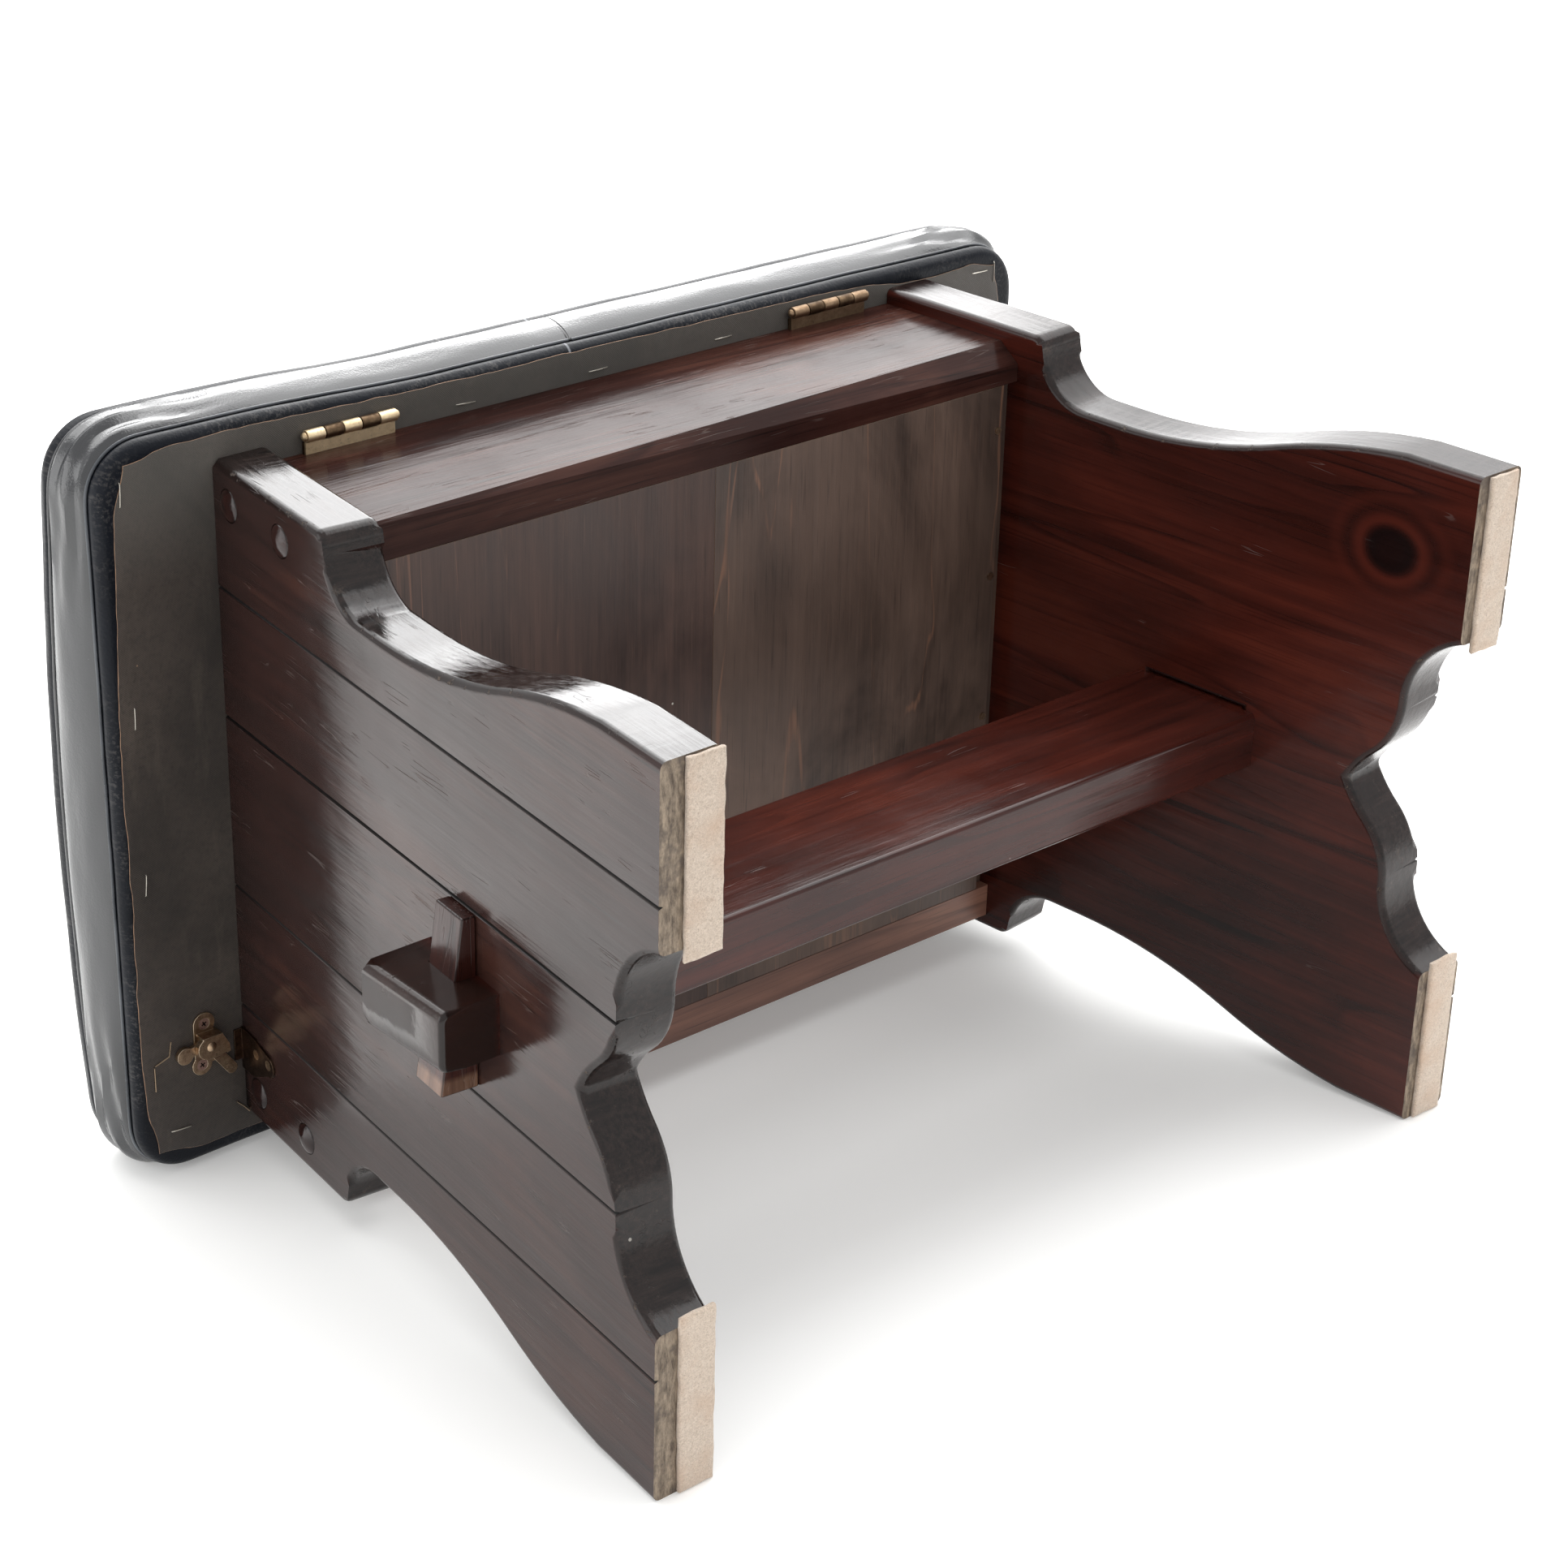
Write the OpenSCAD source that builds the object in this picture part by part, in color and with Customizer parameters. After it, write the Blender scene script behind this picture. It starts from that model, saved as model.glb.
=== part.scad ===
// Kneeling bench: a padded lid on a shallow box, carried by two splayed end
// boards that a wedged stretcher ties together.
// X runs along the bench, +Y is the hinge side, +Z is up. The origin is on the
// floor, under the middle of the bench.

/* [End boards] */
// height of the end boards, above their felt strips
frame_h = 367; // [350:1:400]
// distance over the outer faces at the feet
foot_span = 512; // [490:2:540]
// distance over the outer faces at the top
top_span = 443; // [436:1:450]
// front to back width of an end board
board_w = 346; // [340:2:360]
// thickness of an end board
board_t = 30; // [26:1:32]
// depth of the waist cut into each long edge
waist_cut = 32; // [24:1:36]
// thickness of the felt under each foot
felt_t = 3; // [2:0.5:5]

/* [Box] */
// thickness of the two long rails
rail_t = 19; // [16:1:20]
// height of the rails
rail_h = 91; // [80:1:100]
// setback of a rail behind the edge of the end boards
rail_setback = 8; // [6:1:12]
// thickness of the bottom panels
panel_t = 6; // [4:1:9]

/* [Stretcher] */
// thickness of the stretcher
bar_t = 30; // [26:1:34]
// height of the stretcher
bar_h = 76; // [68:1:84]
// height of its lower edge above the feet
bar_z = 111; // [100:1:120]
// height of the through tenon
tenon_h = 58; // [50:1:62]
// how far the tenon stands out beyond the end board
tenon_out = 33; // [30:1:36]
// width of the tusk wedge
wedge_w = 22; // [18:1:26]

/* [Seat] */
// length over the lower edge of the padded lid
pad_l = 562; // [550:2:590]
// width over the lower edge of the padded lid
pad_w = 374; // [368:2:380]
// thickness of the lid's plywood
lid_board_t = 12; // [9:1:15]
// height of the boxing band between the two welts
boxing_h = 32; // [26:1:40]
// rise of the crown above the upper welt
crown_h = 12; // [6:1:20]

/* [Hinges] */
// length of each butt hinge
hinge_l = 50; // [44:2:60]
// distance of each hinge from the middle of the bench
hinge_x = 148; // [120:1:155]
// outer radius of the hinge knuckles
knuckle_r = 3; // [2.8:0.1:3.2]

/* [Show] */
// node to draw

/* [Hidden] */
$fn = 72;
mahogany = [0.27, 0.13, 0.10];
edge_wood = [0.36, 0.30, 0.26];
plywood = [0.42, 0.37, 0.34];
inner_wood = [0.55, 0.42, 0.30];
vinyl = [0.09, 0.10, 0.12];
cloth = [0.36, 0.35, 0.31];
foam = [0.85, 0.78, 0.60];
felt = [0.90, 0.86, 0.78];
brass = [0.72, 0.60, 0.38];
old_brass = [0.50, 0.42, 0.32];
steel = [0.60, 0.60, 0.58];
eps = 0.01;

// splay of the end boards
splay = atan((foot_span - top_span) / 2 / frame_h);
slant = tan(splay);
z0 = felt_t;
frame_top = z0 + frame_h;
by = board_w / 2;

// outline of an end board
shoulder_z = 264.5;
shoulder_r = 7;
cove_r = 28;
waist_y = by - waist_cut;
flare_top = 215;
flare_end = 20;
flare_l = flare_top - flare_end;
flare_c = waist_cut + 1;
flare_r = (flare_l * flare_l + flare_c * flare_c) / (4 * flare_c);
arch_y = 89;
groove_ys = [-111, -45, 45, 111];
groove_w = 2;
groove_d = 2.2;

// screws through the end boards into the rails
screw_zs = [305, 354];
plug_r = 8;
bore_d = 9;
plug_l = 5;
dome_h = 2.4;
dome_r = (plug_r * plug_r + dome_h * dome_h) / (2 * dome_h);

// box
rail_y1 = by - rail_setback;
rail_y0 = rail_y1 - rail_t;
rail_z0 = frame_top - rail_h;
rail_mid = (rail_y0 + rail_y1) / 2;
panel_end = foot_span / 2 - (rail_z0 - z0) * slant - board_t / cos(splay) - 9;
cleat_z0 = rail_z0 + panel_t;
cleat_h = 18;
cleat_w = 20;
side_cleat = 12;
nail_ys = [-121, -40, 41, 122];

// stretcher and wedge
bar_z0 = z0 + bar_z;
tenon_z0 = bar_z0 + (bar_h - tenon_h) / 2;
tenon_mid = tenon_z0 + tenon_h / 2;
tenon_end = foot_span / 2 - (tenon_mid - z0) * slant + tenon_out;
wedge_y0 = -bar_t / 2 - 25;
wedge_y1 = bar_t / 2 + 29;
wedge_thick = 19;
wedge_thin = 7;

// felt strips
felt_w = 18;
felt_y0 = arch_y - 5;
felt_y1 = by - 1;

// lid, from its underside upwards
dust_t = 0.6;
vinyl_t = 1.2;
lid_z = frame_top + 0.5;
hem_z = lid_z + dust_t;
lid_board_z = hem_z + vinyl_t;
pad_z = lid_board_z + lid_board_t;
lower_welt_z = lid_z + 9;
upper_welt_z = lower_welt_z + boxing_h;
crown_z = upper_welt_z + crown_h;
bulge = 4;
welt_r = 2.4;
lx = pad_l / 2;
ly = pad_w / 2;
corner_r = 27;
dust_x = 276;
dust_y = 181;
dust_r = 12;

// hinges
knuckle_gap = 0.5;
knuckle_l = (hinge_l - 4 * knuckle_gap) / 5;
leaf_t = 1.4;
leaf_y0 = by - 23;
pin_r = 1.2;
axis_y = by + 1;
axis_z = lid_z - knuckle_r - 0.4;
rail_leaf_z = lid_z - 2 * leaf_t - 0.5;
lid_leaf_z = lid_z - leaf_t;
leaf_screw_dx = 15;
leaf_screw_y = rail_mid + 2;

// elbow catch and its strike
pivot = [243.5, -124.5];
base_t = 1.2;
base_z = lid_z - base_t;
lever_t = 2.4;
lever_z = base_z - 0.3 - lever_t;
hood_t = 3.4;
hood_z = lever_z - 0.3 - hood_t;
arm_angle = 235;
arm_l = 22.5;
ear_a = [243.5, -114.5];
ear_b = [245.6, -137];
rivet_r = 1.6;
strike_t = 1.2;
strike_screw_zs = [340.5, 353];
strike_y = -132.4;

// x of the outer face of the right end board at height z
function face_x(z) = foot_span / 2 - (z - z0) * slant;
function inner_x(z) = face_x(z) - board_t / cos(splay);

// ---- helpers ----

// children drawn in the right board's frame: x = 0 on its outer face, z up it
module on_board() {
  translate([foot_span / 2, 0, z0])
    rotate([0, -splay, 0]) children();
}

module both_sides() {
  children();
  mirror([0, 1, 0]) children();
}

module left_right() {
  children();
  mirror([1, 0, 0]) children();
}

// block between two corners
module block(a, b) {
  translate(a) cube(b - a);
}

// rounded rectangle with half sizes hx, hy
module pad_outline(hx, hy, r) {
  square([2 * hx, 2 * (hy - r)], center = true);
  square([2 * (hx - r), 2 * hy], center = true);
  for (sx = [-1, 1], sy = [-1, 1])
    translate([sx * (hx - r), sy * (hy - r)]) circle(r);
}

module slab(hx, hy, r, za, zb) {
  translate([0, 0, za]) linear_extrude(zb - za) pad_outline(hx, hy, r);
}

// crown over the seat: the space under two wide arches that cross at the top
module under_crown(top, rise) {
  rx = (lx * lx + rise * rise) / (2 * rise);
  ry = (ly * ly + rise * rise) / (2 * rise);
  intersection() {
    translate([0, 400, top - rx]) rotate([90, 0, 0]) cylinder(r = rx, h = 800, $fn = 720);
    translate([-400, 0, top - ry]) rotate([0, 90, 0]) cylinder(r = ry, h = 800, $fn = 720);
  }
}

// ---- end boards ----

// what is cut from one long edge below the shoulder
module waist_2d() {
  translate([by - waist_cut + cove_r, shoulder_z - cove_r]) circle(cove_r);
  translate([by - waist_cut + cove_r, shoulder_z - 2 * cove_r]) square([60, 2 * cove_r]);
  translate([waist_y, flare_top]) square([60, shoulder_z - cove_r - flare_top]);
  intersection() {
    translate([waist_y + flare_r, flare_top]) circle(flare_r, $fn = 360);
    translate([waist_y, flare_top - flare_l / 2]) square([60, flare_l / 2]);
  }
  difference() {
    translate([waist_y, flare_end]) square([60, flare_l / 2]);
    translate([waist_y + flare_c - flare_r - 0.05, flare_end]) circle(flare_r, $fn = 360);
  }
}

// half of the arch between the feet, up to its pointed middle
module arch_2d() {
  intersection() {
    translate([49, -12]) circle(42);
    translate([49, -20]) square([60, 60]);
  }
  difference() {
    translate([17.8, -20]) square([31.3, 70]);
    translate([49, 72]) circle(42);
  }
  intersection() {
    translate([-30.5, 0.4]) circle(65, $fn = 120);
    translate([-0.01, -20]) square([17.9, 90]);
  }
}

module board_2d() {
  difference() {
    translate([-by, -10]) square([board_w, frame_h + 30]);
    for (s = [0, 1]) mirror([s, 0]) {
      waist_2d();
      arch_2d();
      translate([by - shoulder_r, shoulder_z]) difference() {
        translate([0, -1]) square([shoulder_r + 1, shoulder_r + 1]);
        translate([0, shoulder_r]) circle(shoulder_r);
      }
    }
  }
}

module groove(y) {
  translate([0, y, -20]) linear_extrude(frame_h + 60)
    polygon([[0.5, -groove_w * 0.6], [0.5, groove_w * 0.6], [-groove_d, 0]]);
}

// the counterbores or holes for the rail screws of one board
module at_rail_screws() {
  for (z = screw_zs, s = [-1, 1])
    translate([0, s * rail_mid, z]) rotate([0, -90, 0]) children();
}

module strike_holes() {
  for (z = strike_screw_zs)
    translate([0, strike_y, z]) rotate([0, -90, 0])
      cylinder(r = 1.35, h = 14);
}

module end_board(strike) {
  difference() {
    intersection() {
      on_board() rotate([90, 0, -90]) linear_extrude(board_t) mirror([1, 0]) board_2d();
      block([100, -200, z0], [300, 200, frame_top]);
    }
    on_board() {
      for (y = groove_ys) groove(y);
      at_rail_screws() translate([0, 0, -1]) cylinder(r = plug_r, h = bore_d + 1);
      at_rail_screws() cylinder(r = 2.25, h = 60);
      if (strike) strike_holes();
    }
    block([100, -bar_t / 2 - 0.1, tenon_z0 - 0.1], [300, bar_t / 2 + 0.1, tenon_z0 + tenon_h + 0.1]);
  }
}

module end_board_right() {
  color(mahogany) end_board(true);
}

module end_board_left() {
  color(mahogany) mirror([1, 0, 0]) end_board(false);
}

// ---- box ----

module rail(gains) {
  x0 = inner_x(rail_z0);
  x1 = inner_x(frame_top);
  difference() {
    translate([0, rail_y1, 0]) rotate([90, 0, 0]) linear_extrude(rail_t)
      polygon([[-x0, rail_z0], [x0, rail_z0], [x1, frame_top], [-x1, frame_top]]);
    left_right() on_board() at_rail_screws() cylinder(r = 2.25, h = 60);
    if (gains)
      for (s = [-1, 1]) {
        translate([s * hinge_x, 0, 0])
          block([-hinge_l / 2 - 0.4, leaf_y0 - 0.4, rail_leaf_z], [hinge_l / 2 + 0.4, by + 5, frame_top + 1]);
        for (dx = [-1, 1])
          translate([s * hinge_x + dx * leaf_screw_dx, leaf_screw_y, rail_leaf_z - 16])
            cylinder(r = 1.65, h = 20);
      }
  }
}

module back_rail() {
  color(mahogany) rail(true);
}

module front_rail() {
  color(mahogany) mirror([0, 1, 0]) rail(false);
}

module bottom_panel() {
  difference() {
    block([0.1, -rail_y0 + 0.2, rail_z0], [panel_end, rail_y0 - 0.2, cleat_z0]);
    nails(1.05, 30);
  }
}

module bottom_panel_right() {
  color(plywood) bottom_panel();
}

module bottom_panel_left() {
  color(plywood) mirror([1, 0, 0]) bottom_panel();
}

module end_cleat() {
  xa = inner_x(cleat_z0);
  xb = inner_x(cleat_z0 + cleat_h);
  difference() {
    translate([0, rail_y0 - 0.1, 0]) rotate([90, 0, 0]) linear_extrude(2 * rail_y0 - 0.2)
      polygon([[xa - cleat_w, cleat_z0], [xa, cleat_z0], [xb, cleat_z0 + cleat_h], [xa - cleat_w, cleat_z0 + cleat_h]]);
    nails(1.05, 30);
  }
}

module end_cleat_right() {
  color(inner_wood) end_cleat();
}

module end_cleat_left() {
  color(inner_wood) mirror([1, 0, 0]) end_cleat();
}

module side_cleat() {
  hx = inner_x(cleat_z0) - cleat_w - 0.2;
  block([-hx, rail_y0 - side_cleat, cleat_z0], [hx, rail_y0, cleat_z0 + side_cleat]);
}

module side_cleat_back() {
  color(inner_wood) side_cleat();
}

module side_cleat_front() {
  color(inner_wood) mirror([0, 1, 0]) side_cleat();
}

// nails of the right panel, with shank radius r
module nails(r, h) {
  for (y = nail_ys)
    translate([panel_end - 3, y, rail_z0 - 0.5]) cylinder(r = r, h = h, $fn = 24);
}

module panel_nails() {
  color(old_brass) left_right() {
    nails(1, 18);
    for (y = nail_ys)
      translate([panel_end - 3, y, rail_z0 - 0.7]) cylinder(r = 2, h = 0.7, $fn = 24);
  }
}

// ---- stretcher and wedges ----

// plan of a wedge, thick at the front and thin at the back
module wedge_plan(grow) {
  polygon([
    [-grow, wedge_y0], [wedge_thick + grow, wedge_y0],
    [wedge_thin + grow, wedge_y1], [-grow, wedge_y1]
  ]);
}

module wedge_solid(grow) {
  zc = (tenon_mid - z0) / cos(splay);
  on_board() translate([0, 0, zc - wedge_w / 2 - grow]) linear_extrude(wedge_w + 2 * grow)
    wedge_plan(grow);
}

module stretcher() {
  xa = inner_x(bar_z0);
  xb = inner_x(bar_z0 + bar_h);
  color(mahogany) difference() {
    union() {
      translate([0, bar_t / 2, 0]) rotate([90, 0, 0]) linear_extrude(bar_t)
        polygon([[-xa, bar_z0], [xa, bar_z0], [xb, bar_z0 + bar_h], [-xb, bar_z0 + bar_h]]);
      block([-tenon_end, -bar_t / 2, tenon_z0], [tenon_end, bar_t / 2, tenon_z0 + tenon_h]);
    }
    left_right() wedge_solid(0.05);
  }
}

module wedge_right() {
  color(mahogany) wedge_solid(0);
}

module wedge_left() {
  color(mahogany) mirror([1, 0, 0]) wedge_solid(0);
}

// ---- screws and plugs ----

module rail_screws() {
  color(steel) left_right() on_board() at_rail_screws() {
    translate([0, 0, bore_d]) cylinder(r = 2.2, h = 42);
    translate([0, 0, bore_d - 3]) cylinder(r = 4.2, h = 3);
  }
}

module screw_plugs() {
  color(mahogany) left_right() on_board() at_rail_screws()
    intersection() {
      translate([0, 0, -dome_h]) cylinder(r = plug_r - 0.05, h = plug_l + dome_h);
      translate([0, 0, dome_r - dome_h]) sphere(dome_r, $fn = 96);
    }
}

// ---- felt strips ----

module felt_strip(xa) {
  block([xa, felt_y0, 0], [xa + felt_w, felt_y1, felt_t]);
}

module felt_back_right() {
  color(felt) felt_strip(inner_x(z0));
}

module felt_front_right() {
  color(felt) mirror([0, 1, 0]) felt_strip(inner_x(z0));
}

module felt_back_left() {
  color(felt) mirror([1, 0, 0]) felt_strip(inner_x(z0) + 7);
}

module felt_front_left() {
  color(felt) mirror([1, 0, 0]) mirror([0, 1, 0]) felt_strip(inner_x(z0) + 7);
}

// ---- hinges ----

// one knuckle, numbered 0 to 4 along the pin
module knuckle(i) {
  translate([-hinge_l / 2 + i * (knuckle_l + knuckle_gap), axis_y, axis_z])
    rotate([0, 90, 0]) cylinder(r = knuckle_r, h = knuckle_l);
}

// room around a knuckle of the other leaf
module knuckle_room(i) {
  xa = -hinge_l / 2 + i * (knuckle_l + knuckle_gap) - knuckle_gap;
  block([xa, axis_y - knuckle_r - 0.5, lid_z - 10], [xa + knuckle_l + 2 * knuckle_gap, axis_y + 9, lid_z + 1]);
}

module pin_bore(r) {
  translate([-hinge_l / 2 - 1, axis_y, axis_z]) rotate([0, 90, 0]) cylinder(r = r, h = hinge_l + 2);
}

// countersunk hole or screw, head face at z = 0, pointing up
module csk(head_r, r, h) {
  translate([0, 0, -eps]) cylinder(r1 = head_r, r2 = r, h = leaf_t + eps);
  translate([0, 0, leaf_t - eps]) cylinder(r = r, h = h);
}

module rail_leaf() {
  difference() {
    union() {
      difference() {
        block([-hinge_l / 2, leaf_y0, rail_leaf_z], [hinge_l / 2, axis_y, rail_leaf_z + leaf_t]);
        for (i = [1, 3]) knuckle_room(i);
      }
      for (i = [0, 2, 4]) knuckle(i);
    }
    pin_bore(pin_r + 0.02);
    for (s = [-1, 1])
      translate([s * leaf_screw_dx, leaf_screw_y, rail_leaf_z + leaf_t]) mirror([0, 0, 1]) csk(3.25, 1.7, 5);
  }
}

module lid_leaf() {
  difference() {
    union() {
      difference() {
        block([-hinge_l / 2, leaf_y0, lid_leaf_z], [hinge_l / 2, axis_y, lid_z]);
        for (i = [0, 2, 4]) knuckle_room(i);
      }
      for (i = [1, 3]) knuckle(i);
    }
    pin_bore(pin_r + 0.07);
    for (s = [-1, 1])
      translate([s * leaf_screw_dx, leaf_screw_y, lid_leaf_z]) csk(3.25, 1.7, 5);
  }
}

module hinge_pin() {
  translate([-hinge_l / 2 - 0.5, axis_y, axis_z]) rotate([0, 90, 0])
    cylinder(r = pin_r, h = hinge_l + 1);
  for (s = [-1, 1]) translate([s * (hinge_l / 2 + 0.3), axis_y, axis_z])
    rotate([0, s * 90, 0]) intersection() {
      cylinder(r = 2.1, h = 1.8);
      translate([0, 0, -0.7]) sphere(2.5);
    }
}

module hinge_right_rail_leaf() {
  color(brass) translate([hinge_x, 0, 0]) rail_leaf();
}

module hinge_left_rail_leaf() {
  color(brass) translate([-hinge_x, 0, 0]) rail_leaf();
}

module hinge_right_lid_leaf() {
  color(brass) translate([hinge_x, 0, 0]) lid_leaf();
}

module hinge_left_lid_leaf() {
  color(brass) translate([-hinge_x, 0, 0]) lid_leaf();
}

module hinge_right_pin() {
  color(brass) translate([hinge_x, 0, 0]) hinge_pin();
}

module hinge_left_pin() {
  color(brass) translate([-hinge_x, 0, 0]) hinge_pin();
}

module rail_leaf_screws() {
  color(brass) for (s = [-1, 1], dx = [-1, 1])
    translate([s * hinge_x + dx * leaf_screw_dx, leaf_screw_y, rail_leaf_z + leaf_t]) mirror([0, 0, 1])
      csk(3.2, 1.6, 14);
}

module lid_leaf_screws() {
  color(brass) for (s = [-1, 1], dx = [-1, 1])
    translate([s * hinge_x + dx * leaf_screw_dx, leaf_screw_y, lid_leaf_z])
      csk(3.2, 1.6, 10);
}

// ---- strike ----

module strike_2d() {
  polygon([[-147, 368.6], [-124, 368.6], [-124, 357], [-127.5, 340.5], [-138.5, 340.5], [-147, 357]]);
  translate([-133, 340.5]) circle(5.5);
}

module strike_plate() {
  color(old_brass) {
    difference() {
      on_board() rotate([90, 0, 90]) linear_extrude(strike_t) strike_2d();
      on_board() for (z = strike_screw_zs)
        translate([strike_t, strike_y, z]) rotate([0, -90, 0]) cylinder(r1 = 2.7, r2 = 1.45, h = strike_t + eps);
    }
    block([face_x(frame_top - 0.5) + 0.3, -141.5, frame_top - 0.8], [227, -124.5, frame_top + 0.1]);
  }
}

module strike_screws() {
  color(old_brass) on_board() for (z = strike_screw_zs)
    translate([strike_t, strike_y, z]) rotate([0, -90, 0]) {
      cylinder(r1 = 2.6, r2 = 1.3, h = strike_t + eps);
      cylinder(r = 1.3, h = 13);
    }
}

// ---- padded lid ----

module lid_holes() {
  for (s = [-1, 1], dx = [-1, 1])
    translate([s * hinge_x + dx * leaf_screw_dx, leaf_screw_y, lid_z - 1]) cylinder(r = 1.65, h = 14);
  for (p = [ear_a, ear_b])
    translate([p[0], p[1], lid_z - 1]) cylinder(r = 1.7, h = 14);
  translate([pivot[0], pivot[1], lid_z - 1]) cylinder(r = 2.1, h = 2.5);
  staple_legs(0.5);
}

module lid_board() {
  color(plywood) difference() {
    slab(lx - 2, ly - 2, corner_r - 2, lid_board_z, pad_z);
    lid_holes();
  }
}

// the cushion above the board, drawn in by gap from the outside of its cover
module cushion(gap) {
  r = corner_r + bulge - gap;
  slab(lx + bulge - gap, ly + bulge - gap, r, pad_z, upper_welt_z - gap);
  intersection() {
    slab(lx + bulge - 2 - gap, ly + bulge - 2 - gap, r - 2, upper_welt_z - 1 - gap, crown_z + 5);
    under_crown(crown_z - gap, crown_h);
  }
}

module seat_pad() {
  color(foam) cushion(vinyl_t + 0.1);
}

module seat_cover() {
  color(vinyl) difference() {
    union() {
      slab(lx, ly, corner_r, hem_z, lower_welt_z + 1);
      slab(lx + bulge, ly + bulge, corner_r + bulge, lower_welt_z, pad_z + 1);
      cushion(0);
    }
    slab(lx - 1.8, ly - 1.8, corner_r - 1.8, lid_board_z, pad_z + 0.1);
    cushion(vinyl_t);
    slab(lx - 26, ly - 22, 3, lid_z - 1, pad_z);
    staple_legs(0.5);
  }
}

// piping that follows the edge of the seat
module welt(hx, hy, r, z) {
  translate([0, 0, z]) {
    for (s = [-1, 1]) {
      translate([-hx + r, s * hy, 0]) rotate([0, 90, 0]) cylinder(r = welt_r, h = 2 * (hx - r), $fn = 24);
      translate([s * hx, hy - r, 0]) rotate([90, 0, 0]) cylinder(r = welt_r, h = 2 * (hy - r), $fn = 24);
    }
    for (q = [0:3])
      translate([(q == 0 || q == 3 ? 1 : -1) * (hx - r), (q < 2 ? 1 : -1) * (hy - r), 0])
        rotate([0, 0, 90 * q]) rotate_extrude(angle = 90) translate([r, 0]) circle(welt_r, $fn = 24);
  }
}

module upper_welt() {
  color(vinyl) difference() {
    welt(lx + bulge - 1, ly + bulge - 1, corner_r + bulge - 1, upper_welt_z);
    slab(lx + bulge + 0.05, ly + bulge + 0.05, corner_r + bulge + 0.05, lid_z, upper_welt_z);
    slab(lx + bulge - 1.9, ly + bulge - 1.9, corner_r + bulge - 1.9, lid_z, crown_z);
  }
}

module lower_welt() {
  color(vinyl) difference() {
    welt(lx + 0.8, ly + 0.8, corner_r + 0.8, lower_welt_z - welt_r);
    slab(lx + 0.05, ly + 0.05, corner_r + 0.05, lid_z, crown_z);
  }
}

module dust_cover() {
  color(cloth) difference() {
    slab(dust_x, dust_y, dust_r, lid_z, hem_z);
    lid_holes();
  }
}

// where the staples sit: middle x, y and turn
staples = [
  for (y = [-30, 57, 167]) [269.5, y, 90],
  for (y = [-136, -86, -30, 57, 112, 167]) [-269.5, y, 90],
  for (x = [-259, -80, 0, 80]) [x, 169, 0],
  for (x = [-259, -80, 0, 80, 259]) [x, -169, 0]
];
staple_w = 11.5;

module staple_legs(r) {
  for (p = staples, s = [-1, 1])
    translate([p[0], p[1], lid_z - 0.3]) rotate([0, 0, p[2]])
      translate([s * (staple_w / 2 - 0.4), 0, 0]) cylinder(r = r, h = 8, $fn = 16);
}

module cover_staples() {
  color(steel) {
    staple_legs(0.45);
    for (p = staples)
      translate([p[0], p[1], lid_z]) rotate([0, 0, p[2]])
        block([-staple_w / 2, -0.45, -0.4], [staple_w / 2, 0.45, 0]);
  }
}

// ---- elbow catch ----

module at2(p, z) {
  translate([p[0], p[1], z]) children();
}

module catch_base() {
  color(old_brass) difference() {
    union() {
      at2(ear_a, base_z) cylinder(r = 6, h = base_t);
      at2(ear_b, base_z) cylinder(r = 5.5, h = base_t);
      block([238.5, ear_b[1], base_z], [249.5, ear_a[1], lid_z]);
      block([237, -120.2, hood_z], [248, -119, lid_z]);
      translate([0, 0, hood_z]) linear_extrude(hood_t) difference() {
        union() {
          translate([245, -125]) circle(6);
          translate([237, -125]) square([8, 6]);
          polygon([[233, -130.4], [235.5, -131], [245, -131], [245, -122], [237, -119.5], [233.5, -126]]);
        }
        translate([236.5, -132.5]) circle(2.3);
      }
    }
    at2(pivot, hood_z - 1) cylinder(r = rivet_r + 0.02, h = 12);
    for (p = [ear_a, ear_b]) at2(p, base_z) csk(3.05, 1.5, 3);
  }
}

module catch_rivet() {
  color(old_brass) {
    at2(pivot, hood_z - 0.5) cylinder(r = rivet_r, h = lid_z - hood_z + 1);
    at2(pivot, hood_z) mirror([0, 0, 1]) intersection() {
      cylinder(r = 2.6, h = 1.2);
      translate([0, 0, -2.2]) sphere(3.4);
    }
  }
}

module catch_screws() {
  color(steel) for (p = [ear_a, ear_b]) at2(p, base_z) csk(3, 1.3, 10);
}

// lever arm that swings about the rivet under the base plate
module catch_lever() {
  tip = pivot + arm_l * [cos(arm_angle), sin(arm_angle)];
  tail = pivot + [12.6, -2.8];
  color(old_brass) difference() {
    at2([0, 0], lever_z) linear_extrude(lever_t) {
      translate(pivot) circle(4);
      translate(tip) circle(3);
      translate(tail) circle(4.5);
      translate(pivot) rotate(arm_angle) translate([0, -3]) square([arm_l, 6]);
      translate(pivot) rotate(atan2(-2.8, 12.6)) translate([0, -2.5]) square([12, 5]);
    }
    at2(pivot, lever_z - 1) cylinder(r = rivet_r + 0.07, h = 5);
  }
}

end_board_right();
end_board_left();
back_rail();
front_rail();
bottom_panel_right();
bottom_panel_left();
end_cleat_right();
end_cleat_left();
side_cleat_back();
side_cleat_front();
panel_nails();
stretcher();
wedge_right();
wedge_left();
rail_screws();
screw_plugs();
felt_back_right();
felt_front_right();
felt_back_left();
felt_front_left();
hinge_right_rail_leaf();
hinge_left_rail_leaf();
hinge_right_pin();
hinge_left_pin();
rail_leaf_screws();
strike_plate();
strike_screws();
lid_board();
seat_pad();
seat_cover();
upper_welt();
lower_welt();
dust_cover();
cover_staples();
hinge_right_lid_leaf();
hinge_left_lid_leaf();
lid_leaf_screws();
catch_base();
catch_rivet();
catch_screws();
catch_lever();
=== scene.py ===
import math

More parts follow.
